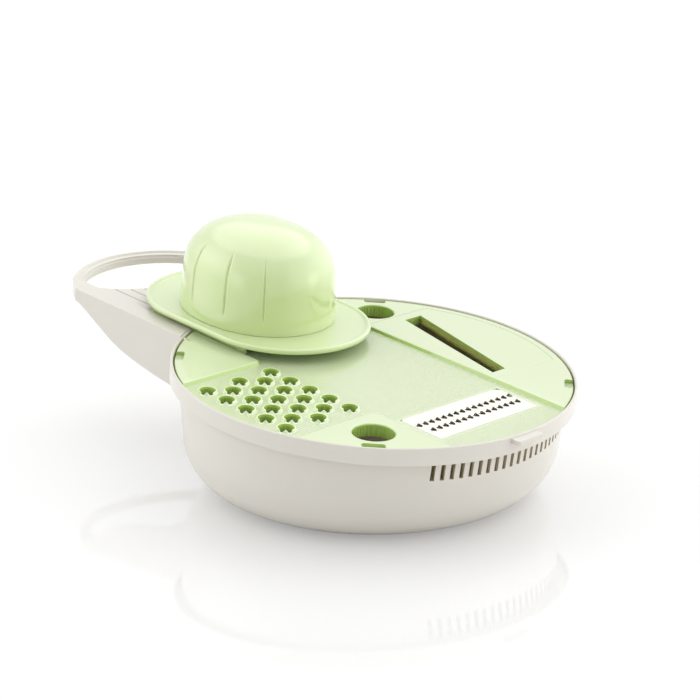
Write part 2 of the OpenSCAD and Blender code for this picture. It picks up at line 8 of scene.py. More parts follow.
import bmesh
import bpy
from bpy.props import FloatProperty, FloatVectorProperty, PointerProperty
from mathutils import Matrix, Vector


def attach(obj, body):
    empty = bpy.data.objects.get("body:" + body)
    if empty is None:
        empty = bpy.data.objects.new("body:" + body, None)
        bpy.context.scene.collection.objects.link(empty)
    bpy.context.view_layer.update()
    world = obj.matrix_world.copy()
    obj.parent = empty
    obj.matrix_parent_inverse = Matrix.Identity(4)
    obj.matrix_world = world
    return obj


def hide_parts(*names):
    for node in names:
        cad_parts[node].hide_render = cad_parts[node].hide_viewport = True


bl_info = {
    "name": "Round Mandoline Slicer",
    "version": (1, 0, 0),
    "blender": (4, 5, 0),
    "location": "3D View > Sidebar > Slicer",
    "description": "Builds a round mandoline slicer with its basin, plate and sliding hand guard",
    "category": "Add Mesh",
}

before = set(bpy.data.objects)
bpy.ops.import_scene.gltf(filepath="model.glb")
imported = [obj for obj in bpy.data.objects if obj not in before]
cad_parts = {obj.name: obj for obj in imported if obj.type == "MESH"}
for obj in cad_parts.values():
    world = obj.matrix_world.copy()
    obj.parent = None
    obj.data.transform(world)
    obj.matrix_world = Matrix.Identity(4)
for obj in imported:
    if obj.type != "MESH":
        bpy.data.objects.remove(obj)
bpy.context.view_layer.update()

# ------------------------------------------------------------------ sizes of the solids, in mm
# the rim's own frame: its tilt, its middle's height, and its place over the foot's middle
RIM_TILT = math.radians(4.5)
RIM_Z = 75.6
RIM_SHIFT = 2.0
# plate: its drop below the rim, its gap to the rim band and its thickness
RIM_R = 125.0
BAND_T = 2.0
PLATE_TOP = -0.8
PLATE_LOW = PLATE_TOP - 5.4
PLATE_R = RIM_R - BAND_T - 0.8
# basin: rim band, the ledge that carries the plate, wall with its widening per mm, floor and pad
BAND_H = 11.0
LEDGE_R = RIM_R - 12.2
LEDGE_TOP = PLATE_LOW - 0.3
LEDGE_LOW = LEDGE_TOP - 2.0
WALL = 2.2
FLARE = 0.066
CORNER_R = 35.0
FLOOR_R = RIM_R - 8.5 - CORNER_R
PAD_R = FLOOR_R - 7.5
FOOT = 0.6
# track: its width between the walls' top edges and its depth; the walls lean at 45 degrees
TRACK_W = 100.0
TRACK_DEEP = 2.3
TRACK_Z = PLATE_TOP - TRACK_DEEP
TRACK_HALF = TRACK_W / 2 - TRACK_DEEP
# slicing panel, and its slanted slot with half its width at each end
PANEL_HALF = 56.0
PANEL_R = PLATE_R - 5.2
PANEL_LOW = -3.2
PANEL_EDGE_Y = TRACK_W / 2
SLOT_HALF = 48.0
SLOT_Y = TRACK_W / 2 + 22
SLOT_SLANT = math.radians(13)
SLOT_WIDE = 7.1
SLOT_TIGHT = 5.7
# finger holes and grating holes
FINGER_R = 12.5
FINGER_X = PLATE_R - 22.2
HOLE_R = 4.85
# shredding insert: steel sheet on its frame
SHRED_W = 33.5
SHRED_L = 84.0
SHRED_X = PLATE_R - 24.9 - SHRED_W / 2
SHEET_TOP = -3.05
SHEET_LOW = -3.7
INSERT_SEAT = -5.0
# guard: the place where it rests, its brim, dome and holder
GUARD_X = RIM_R - 18.0
BRIM_FACE = 5.0
BRIM_LOW = BRIM_FACE - 2.0
BRIM_HALF = 27.0
BRIM_R = TRACK_W / 2 + 4.0
DOME_R = TRACK_W / 2 - 5.0
DOME_HALF = 8.3
DOME_H = 59.4
DOME_SHOULDER = 25.0
DOME_WALL = 2.2
DOME_LEAN = 0.05
HOLDER_UP = 29.0
HOLDER_T = 2.4
# handle: half its width, and its bow
ARM_Y = TRACK_W / 2 + 14.0
BOW_X = RIM_R + 62.5
BOW_R = ARM_Y + 4.0

MM = Matrix.Scale(0.001, 4)
RIM = Matrix.Translation((RIM_SHIFT * 0.001, 0, RIM_Z * 0.001)) @ Matrix.Rotation(RIM_TILT, 4, "Y")
GUARD = RIM @ Matrix.Translation((-GUARD_X * 0.001, 0, 0))
LEVEL = Matrix.Identity(4)

# the grating field's rule: rows of holes, every second row shifted by half a step
GRATING = {"Columns": 5, "Rows": 5, "Pitch": 17.15, "Row Spacing": 12.75, "Middle": (0, -79.9, 0)}
# the light around the slicer: direction, sharpness and strength of each soft lobe
LOBES = (
    ((0.701, 0.713, 0), 1, 1.6),
    ((-0.713, 0.701, 0), 1, 0.57),
    ((0.713, -0.701, 0), 1, 0.34),
    ((-0.66, -0.67, 0.34), 5, 2.32),
    ((0.66, 0.67, 0.34), 5, 0.3),
    ((0.81, 0.585, 0.03), 40, 1.4),
    ((-0.075, -0.993, 0.08), 40, 1.4),
)


def tone(red, green, blue):
    """A screen colour, 0 to 255, as a linear colour."""
    def linear(c):
        c /= 255
        return c / 12.92 if c <= 0.04045 else ((c + 0.055) / 1.055) ** 2.4
    return (linear(red), linear(green), linear(blue), 1.0)


def darker(colour, share):
    """The colour with its brightness cut to a share."""
    return tuple(share * c for c in colour[:3]) + (1,)


class SlicerSettings(bpy.types.PropertyGroup):
    """Sizes and colours that a user would change."""

    basin_colour: FloatVectorProperty(
        name="Basin", description="Colour of the basin and its handle", subtype="COLOR", size=4,
        default=tone(214, 210, 200), min=0, max=1)
    plate_colour: FloatVectorProperty(
        name="Plate", description="Colour of the slicing plate", subtype="COLOR", size=4,
        default=tone(213, 227, 182), min=0, max=1)
    guard_colour: FloatVectorProperty(
        name="Guard", description="Colour of the hand guard", subtype="COLOR", size=4,
        default=tone(207, 223, 169), min=0, max=1)
    knurl_pitch: FloatProperty(
        name="Knurl pitch", description="Spacing of the fine ridges in the track",
        default=0.0019, min=0.001, max=0.004, unit="LENGTH")
    groove_depth: FloatProperty(
        name="Groove depth", description="Depth of the dome's upright grooves",
        default=0.0009, min=0.0, max=0.0015, unit="LENGTH")
    crown_height: FloatProperty(
        name="Crown height", description="Height of the pointed tooth at each grating hole",
        default=0.0021, min=0.0005, max=0.0022, unit="LENGTH")


# ------------------------------------------------------------------ mesh helpers


def new_piece(name, verts, faces):
    """An object made from points and faces, with its doubles merged and its faces outward."""
    mesh = bpy.data.meshes.new(name)
    mesh.from_pydata([tuple(v) for v in verts], [], faces)
    work = bmesh.new()
    work.from_mesh(mesh)
    bmesh.ops.remove_doubles(work, verts=work.verts, dist=1e-4)
    bmesh.ops.recalc_face_normals(work, faces=work.faces)
    work.to_mesh(mesh)
    work.free()
    piece = bpy.data.objects.new(name, mesh)
    bpy.context.scene.collection.objects.link(piece)
    return piece


def loft(rings, loop=False, ends=""):
    """Points and faces that skin equal rings; ends "cap" closes both, "top" or "low" closes one."""
    count = len(rings[0])
    verts = [p for ring in rings for p in ring]
    faces = []
    for i in range(len(rings) if loop else len(rings) - 1):
        a, b = i * count, ((i + 1) % len(rings)) * count
        for j in range(count):
            k = (j + 1) % count
            faces.append((a + j, a + k, b + k, b + j))
    for wanted, ring, start in (("low", rings[0], 0), ("top", rings[-1], (len(rings) - 1) * count)):
        if not loop and (ends == "cap" or ends == wanted):
            middle = tuple(sum(p[i] for p in ring) / count for i in range(3))
            verts.append(middle)
            hub = len(verts) - 1
            faces += [(start + j, start + (j + 1) % count, hub) for j in range(count)]
    return verts, faces


def flat_ended(name, rings):
    """A piece skinned over rings, with one flat face at each end."""
    verts, faces = loft(rings)
    count = len(rings[0])
    faces.append(tuple(range(count - 1, -1, -1)))
    faces.append(tuple(range(len(verts) - count, len(verts))))
    return new_piece(name, verts, faces)


def turned(name, profile, steps=96, loop=False, centre=(0, 0)):
    """A turned piece from (radius, height) points; open profiles are closed at both ends."""
    rings = [[(centre[0] + r * math.cos(a), centre[1] + r * math.sin(a), z)
              for a in (2 * math.pi * i / steps for i in range(steps))] for r, z in profile]
    return new_piece(name, *loft(rings, loop, "cap"))


def prism(name, outline, low, high):
    """An upright prism on a flat outline."""
    return flat_ended(name, [[(x, y, z) for x, y in outline] for z in (low, high)])


def arc(x, y, r, start, end, steps):
    """Points on an arc, angles in degrees."""
    return [(x + r * math.cos(math.radians(start + (end - start) * i / steps)),
             y + r * math.sin(math.radians(start + (end - start) * i / steps)))
            for i in range(steps + 1)]


def stadium(half, r, steps=96):
    """Outline with half-round ends and straight sides cut into equal short steps."""
    straight = 12
    points = []
    for side in (1, -1):
        turn = 0 if side == 1 else 180
        points += arc(side * half, 0, r, turn - 90, turn + 90, steps // 2)[:-1]
        points += [(side * (half - 2 * half * i / straight), side * r) for i in range(straight)]
    return points


def rounded_box(name, x, y, width, length, low, high, corner):
    """A block with rounded upright edges."""
    outline = []
    for sx, sy, turn in ((1, 1, 0), (-1, 1, 90), (-1, -1, 180), (1, -1, 270)):
        outline += arc(x + sx * (width / 2 - corner), y + sy * (length / 2 - corner), corner,
                       turn, turn + 90, 5)
    return prism(name, outline, low, high)


def settle(piece):
    """Turns the piece's modifiers into a plain mesh."""
    graph = bpy.context.evaluated_depsgraph_get()
    mesh = bpy.data.meshes.new_from_object(piece.evaluated_get(graph))
    mesh.name = piece.name
    old = piece.data
    piece.modifiers.clear()
    piece.data = mesh
    bpy.data.meshes.remove(old)


def joined(pieces):
    """One object that holds the meshes of several."""
    work = bmesh.new()
    for piece in pieces:
        work.from_mesh(piece.data)
    keep = pieces[0]
    work.to_mesh(keep.data)
    work.free()
    for piece in pieces[1:]:
        bpy.data.meshes.remove(piece.data)
    return keep


def carve(piece, cutters, way="DIFFERENCE"):
    """Takes the cutters out of the piece, or adds them to it."""
    for cutter in cutters:
        step = piece.modifiers.new("carve", "BOOLEAN")
        step.operation = way
        step.solver = "MANIFOLD"
        step.object = cutter
    settle(piece)
    for cutter in cutters:
        bpy.data.meshes.remove(cutter.data)


def soften(piece, width, segments=2, angle=40):
    """Rounds the piece's sharp edges."""
    step = piece.modifiers.new("soften", "BEVEL")
    step.width = width
    step.segments = segments
    step.limit_method = "ANGLE"
    step.angle_limit = math.radians(angle)
    settle(piece)


def dress(piece, body, material, nodes=(), place=RIM, sharp=32):
    """Brings a finished piece into the model's frame and hangs it on its body."""
    piece.data.transform(place @ MM)
    piece.data.materials.clear()
    piece.data.materials.append(material)
    piece.data.shade_smooth()
    piece.data.set_sharp_from_angle(angle=math.radians(sharp))
    # large flat faces keep their own direction, so that small roundings don't shade them
    step = piece.modifiers.new("even shading", "WEIGHTED_NORMAL")
    step.keep_sharp = True
    step.weight = 100
    settle(piece)
    if nodes:
        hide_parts(*nodes)
    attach(piece, body)
    return piece


# ------------------------------------------------------------------ node helpers


class Tree:
    """A short hand for building a node tree."""

    def __init__(self, tree):
        self.tree = tree

    def node(self, kind, values=None, **settings):
        """A node with its settings, and its inputs set to values or linked to sockets."""
        made = self.tree.nodes.new(kind)
        for key, value in settings.items():
            setattr(made, key, value)
        for key, value in (values or {}).items():
            if isinstance(value, bpy.types.NodeSocket):
                self.tree.links.new(value, made.inputs[key])
            else:
                made.inputs[key].default_value = value
        return made

    def calc(self, way, a, b=0.0, c=0.0):
        """A math node's result."""
        return self.node("ShaderNodeMath", {0: a, 1: b, 2: c}, operation=way).outputs[0]

    def multiply(self, share, colour, tint):
        """A colour multiplied by a tint, by the given share."""
        return self.node("ShaderNodeMix", {0: share, 6: colour, 7: tint}, data_type="RGBA",
                         blend_type="MULTIPLY").outputs[2]

    def dot(self, a, b):
        """The dot product of two vectors."""
        return self.node("ShaderNodeVectorMath", {0: a, 1: b},
                         operation="DOT_PRODUCT").outputs["Value"]


def once(make):
    """Lets a maker of a named node group or material run once and share what it made."""
    def give(name, *values, **settings):
        for store in (bpy.data.node_groups, bpy.data.materials):
            if name in store:
                return store[name]
        return make(name, *values, **settings)
    give.__doc__ = make.__doc__
    return give


def group(name, kind, inputs, outputs):
    """A new node group with its sockets: kind of socket, or (kind, default), by name."""
    tree = bpy.data.node_groups.new(name, kind)
    for direction, sockets in (("INPUT", inputs), ("OUTPUT", outputs)):
        for label, socket in sockets.items():
            socket, *default = socket if isinstance(socket, tuple) else (socket,)
            made = tree.interface.new_socket(label, in_out=direction,
                                             socket_type="NodeSocket" + socket)
            if default:
                made.default_value = default[0]
    build = Tree(tree)
    return tree, build, build.node("NodeGroupInput"), build.node("NodeGroupOutput")


@once
def moulded_skin(name):
    """Slow tint changes and fine surface grain of moulded plastic."""
    tree, build, entry, leave = group(
        name, "ShaderNodeTree",
        {"Colour": "Color", "Deep": "Color", "Gloss": ("Float", 0.3), "Grain": ("Float", 1500.0)},
        {"Colour": "Color", "Roughness": "Float", "Height": "Float"})
    place = build.node("ShaderNodeTexCoord").outputs["Object"]
    slow = build.node("ShaderNodeTexNoise", {"Vector": place, "Scale": 14.0, "Detail": 2.0})
    fine = build.node("ShaderNodeTexNoise",
                      {"Vector": place, "Scale": entry.outputs["Grain"], "Detail": 3.0})
    patch = build.node("ShaderNodeTexNoise", {"Vector": place, "Scale": 60.0, "Detail": 4.0})
    share = build.node("ShaderNodeMapRange",
                       {0: slow.outputs[0], 1: 0.35, 2: 0.7, 3: 0.0, 4: 0.35})
    mix = build.node("ShaderNodeMix", {0: share.outputs[0], 6: entry.outputs["Colour"],
                                       7: entry.outputs["Deep"]}, data_type="RGBA")
    spread = build.calc("MULTIPLY_ADD", patch.outputs[0], 0.08, -0.04)
    rough = build.calc("ADD", entry.outputs["Gloss"], spread)
    for source, target in ((mix.outputs[2], "Colour"), (rough, "Roughness"),
                           (fine.outputs[0], "Height")):
        tree.links.new(source, leave.inputs[target])
    return tree


def rim_place(build):
    """Object coordinates turned into the rim's own frame."""
    return build.node("ShaderNodeMapping", {
        "Vector": build.node("ShaderNodeTexCoord").outputs["Object"],
        "Location": tuple(RIM.translation), "Rotation": (0, RIM_TILT, 0)},
        vector_type="TEXTURE").outputs[0]


@once
def steep_face(name):
    """How far the face turns away from the rim's plane: 0 level, 1 upright."""
    tree, build, entry, leave = group(
        name, "ShaderNodeTree", {"From": ("Float", 0.1), "To": ("Float", 0.7)}, {"Steep": "Float"})
    level = build.calc("ABSOLUTE", build.dot(build.node("ShaderNodeNewGeometry").outputs["Normal"],
                                            tuple(RIM.to_3x3() @ Vector((0, 0, 1)))))
    steep = build.node("ShaderNodeMapRange", {
        0: build.calc("SUBTRACT", 1.0, level), 1: entry.outputs["From"], 2: entry.outputs["To"]},
        interpolation_type="SMOOTHSTEP")
    tree.links.new(steep.outputs[0], leave.inputs["Steep"])
    return tree


@once
def inner_face(name):
    """1 on faces below a height that look at a point over the basin's middle, 0 on outer ones."""
    tree, build, entry, leave = group(
        name, "ShaderNodeTree", {"Top": ("Float", -0.0086)}, {"Inner": "Float"})
    place = build.node("ShaderNodeTexCoord").outputs["Object"]
    level = build.node("ShaderNodeVectorMath", {0: place, 1: (-1, -1, 0)}, operation="MULTIPLY")
    lifted = build.node("ShaderNodeVectorMath", {0: level.outputs[0], 1: (0, 0, 0.05)},
                        operation="ADD")
    inward = build.dot(lifted.outputs[0], build.node("ShaderNodeNewGeometry").outputs["True Normal"])
    height = build.node("ShaderNodeSeparateXYZ", {0: rim_place(build)}).outputs[2]
    inner = build.calc("MULTIPLY", build.calc("GREATER_THAN", inward, 0.0),
                      build.calc("LESS_THAN", height, entry.outputs["Top"]))
    tree.links.new(inner, leave.inputs["Inner"])
    return tree


@once
def track_knurl(name):
    """Fine ridges on the track's floor, smooth elsewhere and in a border around the steel."""
    tree, build, entry, leave = group(
        name, "ShaderNodeTree",
        {"Pitch": ("Float", 0.0021), "Floor": ("Float", -0.0029), "Border": ("Float", 0.0022)},
        {"Height": "Float", "Shade": "Float"})
    part = build.node("ShaderNodeSeparateXYZ", {0: rim_place(build)})
    ridge = []
    for axis in (0, 1):
        turn = build.calc("MULTIPLY", build.calc("DIVIDE", part.outputs[axis],
                                               entry.outputs["Pitch"]), 2 * math.pi)
        wave = build.calc("MULTIPLY_ADD", build.calc("COSINE", turn), 0.5, 0.5)
        ridge.append(build.calc("POWER", wave, 3.0))
    reach = [build.calc("SUBTRACT", build.calc("ABSOLUTE", build.calc("SUBTRACT", part.outputs[k], mid)),
                       half) for k, mid, half in ((0, SHRED_X * 0.001, SHRED_W * 0.0005),
                                                  (1, 0.0, SHRED_L * 0.0005))]
    border = build.calc("GREATER_THAN", build.calc("MAXIMUM", reach[0], reach[1]),
                       entry.outputs["Border"])
    low = build.calc("MULTIPLY", border,
                    build.calc("LESS_THAN", part.outputs[2], entry.outputs["Floor"]))
    both = build.calc("MAXIMUM", ridge[1], build.calc("MULTIPLY", ridge[0], 0.12))
    tree.links.new(build.calc("MULTIPLY", both, low), leave.inputs["Height"])
    # painted shade: the grooves between the ridges a little darker, and faces off the knurled floor a tenth
    # darker, so that the knurled floor reads brighter
    deep = build.calc("MULTIPLY", build.calc("SUBTRACT", 1.0, both), low)
    plain = build.calc("MULTIPLY_ADD", low, 0.1, 0.9)
    tree.links.new(build.calc("MULTIPLY_ADD", deep, -0.05, plain), leave.inputs["Shade"])
    return tree


def material(name):
    """A new material and its Principled shader."""
    made = bpy.data.materials.new(name)
    made.use_nodes = True
    build = Tree(made.node_tree)
    return made, build, made.node_tree.nodes["Principled BSDF"]


@once
def plastic(name, colour, deep, gloss, knurl=None, steep=None, inner=None, marked=None, coat=0.5):
    """Glossy moulded plastic, with a knurled floor where a pitch is given.

    steep is the tint of upright faces, through which a clear plastic glows deeper, and the
    steepness at which it starts and ends; inner is the tint of a basin's inner faces, and
    marked that of the faces whose attribute "inner" is 1.
    """
    made, build, shader = material(name)
    links = made.node_tree.links
    skin = build.node("ShaderNodeGroup", {"Colour": colour, "Deep": deep, "Gloss": gloss},
                      node_tree=moulded_skin("moulded skin"))
    tinted = skin.outputs["Colour"]
    # painted shade on upright faces
    if steep:
        tint, start, stop = steep
        slope = build.node("ShaderNodeGroup", {"From": start, "To": stop},
                           node_tree=steep_face("steep face"))
        tinted = build.multiply(slope.outputs[0], tinted, tint)
    # painted shade on the basin's inner faces
    if inner:
        inside = build.node("ShaderNodeGroup", node_tree=inner_face("inner face"))
        tinted = build.multiply(inside.outputs[0], tinted, inner)
    # painted shade on the faces marked inner
    if marked:
        mark = build.node("ShaderNodeAttribute", attribute_name="inner")
        tinted = build.multiply(mark.outputs["Fac"], tinted, marked)
    relief = build.node("ShaderNodeBump", {"Height": skin.outputs["Height"], "Strength": 0.01,
                                           "Distance": 0.0004})
    if knurl:
        ridges = build.node("ShaderNodeGroup", {"Pitch": knurl}, node_tree=track_knurl("track knurl"))
        relief = build.node("ShaderNodeBump", {
            "Height": ridges.outputs["Height"], "Strength": 0.9, "Distance": 0.0006,
            "Normal": relief.outputs[0]})
        # the knurl's painted shade darkens the base colour
        tinted = build.multiply(1.0, tinted, ridges.outputs["Shade"])
    links.new(tinted, shader.inputs["Base Color"])
    links.new(skin.outputs["Roughness"], shader.inputs["Roughness"])
    links.new(relief.outputs[0], shader.inputs["Normal"])
    shader.inputs["IOR"].default_value = 1.49
    shader.inputs["Coat Weight"].default_value = coat
    shader.inputs["Coat IOR"].default_value = 1.6
    shader.inputs["Coat Roughness"].default_value = 0.06
    return made


@once
def steel(name, colour, gloss, stretch):
    """Brushed sheet steel with fine lines along one axis of the rim's frame."""
    made, build, shader = material(name)
    place = build.node("ShaderNodeMapping", {"Vector": rim_place(build), "Scale": stretch})
    lines = build.node("ShaderNodeTexNoise", {"Vector": place.outputs[0], "Scale": 1.0, "Detail": 3.0})
    spots = build.node("ShaderNodeTexNoise", {"Vector": rim_place(build), "Scale": 90.0, "Detail": 3.0})
    mix = build.node("ShaderNodeMix", {
        0: build.calc("MULTIPLY", lines.outputs[0], 0.4), 6: colour,
        7: darker(colour, 0.72)}, data_type="RGBA")
    links = made.node_tree.links
    links.new(mix.outputs[2], shader.inputs["Base Color"])
    rough = build.calc("MULTIPLY_ADD", spots.outputs[0], 0.16, gloss - 0.08)
    links.new(rough, shader.inputs["Roughness"])
    relief = build.node("ShaderNodeBump", {"Height": lines.outputs[0], "Strength": 0.12,
                                           "Distance": 0.0002})
    links.new(relief.outputs[0], shader.inputs["Normal"])
    shader.inputs["Metallic"].default_value = 1.0
    return made


def finished(build, spread, entry, leave):
    """Ends a Geometry Nodes tree: its copies as real geometry, in the given material."""
    real = build.node("GeometryNodeRealizeInstances", {"Geometry": spread.outputs[0]})
    last = build.node("GeometryNodeSetMaterial", {
        "Geometry": real.outputs[0], "Material": entry.outputs["Material"]})
    build.tree.links.new(last.outputs[0], leave.inputs["Geometry"])
    return build.tree


@once
def set_on_points(name):
    """Geometry Nodes: sets one piece on every point of the mesh, and finishes it."""
    tree, build, entry, leave = group(
        name, "GeometryNodeTree",
        {"Geometry": "Geometry", "Piece": "Object", "Size": ("Float", 1.0), "Material": "Material"},
        {"Geometry": "Geometry"})
    piece = build.node("GeometryNodeObjectInfo", {"Object": entry.outputs["Piece"]})
    turn = build.node("GeometryNodeInputNamedAttribute", {"Name": "turn"}, data_type="FLOAT_VECTOR")
    spread = build.node("GeometryNodeInstanceOnPoints", {
        "Points": entry.outputs["Geometry"], "Instance": piece.outputs["Geometry"],
        "Rotation": turn.outputs["Attribute"], "Scale": entry.outputs["Size"]})
    return finished(build, spread, entry, leave)


@once
def staggered_rows(name):
    """Geometry Nodes: sets one piece on rows of points, every second row shifted by half a step."""
    tree, build, entry, leave = group(
        name, "GeometryNodeTree",
        {"Geometry": "Geometry", "Piece": "Object", "Columns": ("Int", 5), "Rows": ("Int", 5),
         "Pitch": ("Float", 17.15), "Row Spacing": ("Float", 12.75), "Middle": "Vector",
         "Turn": "Vector", "Material": "Material"},
        {"Geometry": "Geometry"})
    socket = entry.outputs
    wide = build.calc("MULTIPLY", build.calc("SUBTRACT", socket["Columns"], 1.0), socket["Pitch"])
    deep = build.calc("MULTIPLY", build.calc("SUBTRACT", socket["Rows"], 1.0), socket["Row Spacing"])
    grid = build.node("GeometryNodeMeshGrid", {
        "Size X": wide, "Size Y": deep, "Vertices X": socket["Columns"], "Vertices Y": socket["Rows"]})
    index = build.node("GeometryNodeInputIndex").outputs[0]
    row = build.calc("MODULO", index, socket["Rows"])
    column = build.calc("FLOOR", build.calc("DIVIDE", build.calc("ADD", index, 0.5), socket["Rows"]))
    odd = build.calc("GREATER_THAN", build.calc("MODULO", row, 2.0), 0.5)
    last_one = build.calc("GREATER_THAN", column, build.calc("SUBTRACT", socket["Columns"], 1.5))
    drop = build.calc("MULTIPLY", odd, last_one)
    shift = build.node("ShaderNodeCombineXYZ", {
        0: build.calc("MULTIPLY", odd, build.calc("MULTIPLY", socket["Pitch"], 0.5))})
    moved = build.node("GeometryNodeSetPosition", {
        "Geometry": grid.outputs["Mesh"], "Offset": shift.outputs[0]})
    kept = build.node("GeometryNodeDeleteGeometry", {"Geometry": moved.outputs[0], "Selection": drop},
                      domain="POINT")
    placed = build.node("GeometryNodeTransform", {
        "Geometry": kept.outputs[0], "Translation": socket["Middle"], "Rotation": socket["Turn"]})
    piece = build.node("GeometryNodeObjectInfo", {"Object": socket["Piece"]})
    spread = build.node("GeometryNodeInstanceOnPoints", {
        "Points": placed.outputs[0], "Instance": piece.outputs["Geometry"]})
    return finished(build, spread, entry, leave)


def grown(name, tree, values, base=None):
    """Runs a Geometry Nodes tree on a new object and keeps the result as a plain mesh."""
    piece = base or new_piece(name, [(0, 0, 0)], [])
    step = piece.modifiers.new("grow", "NODES")
    step.node_group = tree
    for item in tree.interface.items_tree:
        if item.in_out == "INPUT" and item.name in values:
            step[item.identifier] = values[item.name]
    settle(piece)
    for value in values.values():
        if isinstance(value, bpy.types.Object):
            bpy.data.meshes.remove(value.data)
    return piece


def point_set(name, points, turns=None):
    """Loose points with a turn each, for set_on_points."""
    piece = new_piece(name, points, [])
    store = piece.data.attributes.new("turn", "FLOAT_VECTOR", "POINT")
    for i, turn in enumerate(turns or [(0, 0, 0)] * len(points)):
        store.data[i].vector = turn
    return piece


def set_on_spots(name, piece, spots, turns=None, **inputs):
    """Copies of one piece on loose points, each with its own turn."""
    return grown(name, set_on_points("set on points"), dict(inputs, Piece=piece),
                 base=point_set(name, spots, turns))


def set_in_rows(name, piece, rule, **inputs):
    """Copies of one piece in staggered rows."""
    return grown(name, staggered_rows("staggered rows"), dict(rule, Piece=piece, **inputs))


# ------------------------------------------------------------------ finishes


def basin_plastic():
    colour = bpy.context.scene.slicer.basin_colour[:]
    # painted shade: the basin's faces inside, below the rim, darker and browner
    return plastic("cream polypropylene", colour, darker(colour, 0.93), 0.32,
                   inner=(0.96, 0.86, 0.66, 1))


def plate_plastic():
    settings = bpy.context.scene.slicer
    colour = settings.plate_colour[:]
    # painted shade: upright faces such as the walls of the track and of the holes a darker, deeper green
    return plastic("knurled green plastic", colour, darker(colour, 0.95), 0.3,
                   knurl=settings.knurl_pitch, steep=((0.7, 0.88, 0.34, 1), 0.04, 0.4), coat=1.0)


def crown_plastic():
    # painted highlight: the crowns paler than the plate they belong to; painted shade: their marked inner
    # faces a dark, deep green
    return plastic("pale green plastic", tone(228, 240, 206), tone(224, 238, 198), 0.3,
                   marked=(0.66, 0.84, 0.26, 1))


def guard_plastic():
    colour = bpy.context.scene.slicer.guard_colour[:]
    # painted shade: upright faces a little darker and yellower, so that level tops read paler
    return plastic("smooth green plastic", colour, darker(colour, 0.95), 0.24,
                   steep=((0.97, 0.99, 0.86, 1), 0.2, 0.9), coat=1.0)


def sheet_steel():
    return steel("brushed sheet steel", tone(236, 234, 228), 0.34, (120.0, 3000.0, 3000.0))


def blade_steel_with_painted_shade():
    # painted shade: the blade's steel a dark brown, the tone of the shaded slot around it
    return steel("ground blade edge", tone(150, 120, 74), 0.42, (120.0, 3000.0, 3000.0))


def screw_steel():
    return steel("screw steel", tone(196, 196, 192), 0.3, (900.0, 900.0, 900.0))


# ------------------------------------------------------------------ shapes shared by operators


def track_outline(grow):
    """Plan of the track and the grating field, grown from the floor's outline."""
    reach = 150.0
    top_corner, widest = 3.0, 2.6
    a = TRACK_HALF + grow
    corner = top_corner + widest - grow
    hub = TRACK_HALF + widest + top_corner
    left = arc(-hub, -hub, corner, 90, 0, 8)
    right = arc(hub, -hub, corner, 180, 90, 8)
    return [(reach, a), (-reach, a), (-reach, -a)] + left + [(-a, -reach), (a, -reach)] + right + [
        (reach, -a)]


# heights and outward steps of the track's wall: rounded foot, slope, rounded top edge
TRACK_WALL = [(-3.1, -0.25), (-3.05, 0.1), (-2.95, 0.35), (-2.75, 0.5), (-1.35, 1.2), (-1.1, 1.4),
              (-0.93, 1.75), (-0.84, 2.2), (-0.79, 2.8), (0.6, 2.9)]


def track_cutter():
    """The track and the grating field, with their leaning walls."""
    return flat_ended("track", [[(x, y, z) for x, y in track_outline(grow)] for z, grow in TRACK_WALL])


def strip_cutter(name, low, high, x_from, x_to):
    """The track alone, as a strip along X."""
    rings = []
    for x in (x_from, x_to):
        side = [(x, -(TRACK_HALF + g), max(z, low) if z < 0 else high) for z, g in TRACK_WALL]
        rings.append(side + [(x, -y, z) for x, y, z in reversed(side)])
    return flat_ended(name, rings)


def slot_outline():
    """Plan of the slanted slot, which narrows towards the drain slots."""
    rise = math.tan(SLOT_SLANT) * SLOT_HALF
    return [(-SLOT_HALF, SLOT_Y + rise - SLOT_WIDE), (SLOT_HALF, SLOT_Y - rise - SLOT_TIGHT),
            (SLOT_HALF, SLOT_Y - rise + SLOT_TIGHT), (-SLOT_HALF, SLOT_Y + rise + SLOT_WIDE)]


def panel_outline(shrink):
    """Plan of the slicing panel: three straight sides and one that follows the plate's edge."""
    r = PANEL_R - shrink
    x, y = PANEL_HALF - shrink, PANEL_EDGE_Y + shrink
    end = math.degrees(math.acos(x / r))
    return [(-x, y), (x, y)] + arc(0, 0, r, end, 180 - end, 48)


def insert_opening(low, high):
    """The opening under the shredding insert."""
    return rounded_box("opening", SHRED_X, 0, SHRED_W - 8, SHRED_L - 2, low, high, 0.5)


def finger_spots():
    """Middles of the two finger holes."""
    return [(FINGER_X * math.cos(a), FINGER_X * math.sin(a))
            for a in (math.radians(-45), math.radians(135))]


def dome_outline_scale(height):
    """Share of the dome's radius left at a height above its shoulder."""
    fullness = 2.42
    u = max(0.0, (height - DOME_SHOULDER) / (DOME_H - DOME_SHOULDER))
    return max(0.0, 1 - min(1, u) ** fullness) ** (1 / fullness)


def basin_wall_point(angle, height_on_rim, inset=0.0):
    """A point of the basin's wall where it reaches a height on the rim's axis."""
    tilt_sin, tilt_cos = math.sin(RIM_TILT), math.cos(RIM_TILT)
    table_r = FLOOR_R + CORNER_R - inset - FLARE * (FOOT + CORNER_R)  # where the wall would meet Z = 0
    z = (height_on_rim + tilt_cos * RIM_Z + tilt_sin * RIM_SHIFT
         - tilt_sin * table_r * math.cos(angle)) / (tilt_cos + tilt_sin * FLARE * math.cos(angle))
    r = table_r + FLARE * z
    return (r * math.cos(angle), r * math.sin(angle), z)


def from_rim(x, y, z):
    """A point of the rim's frame in the level frame, in mm."""
    p = RIM @ Vector((x * 0.001, y * 0.001, z * 0.001))
    return tuple(p * 1000)


# ------------------------------------------------------------------ operators


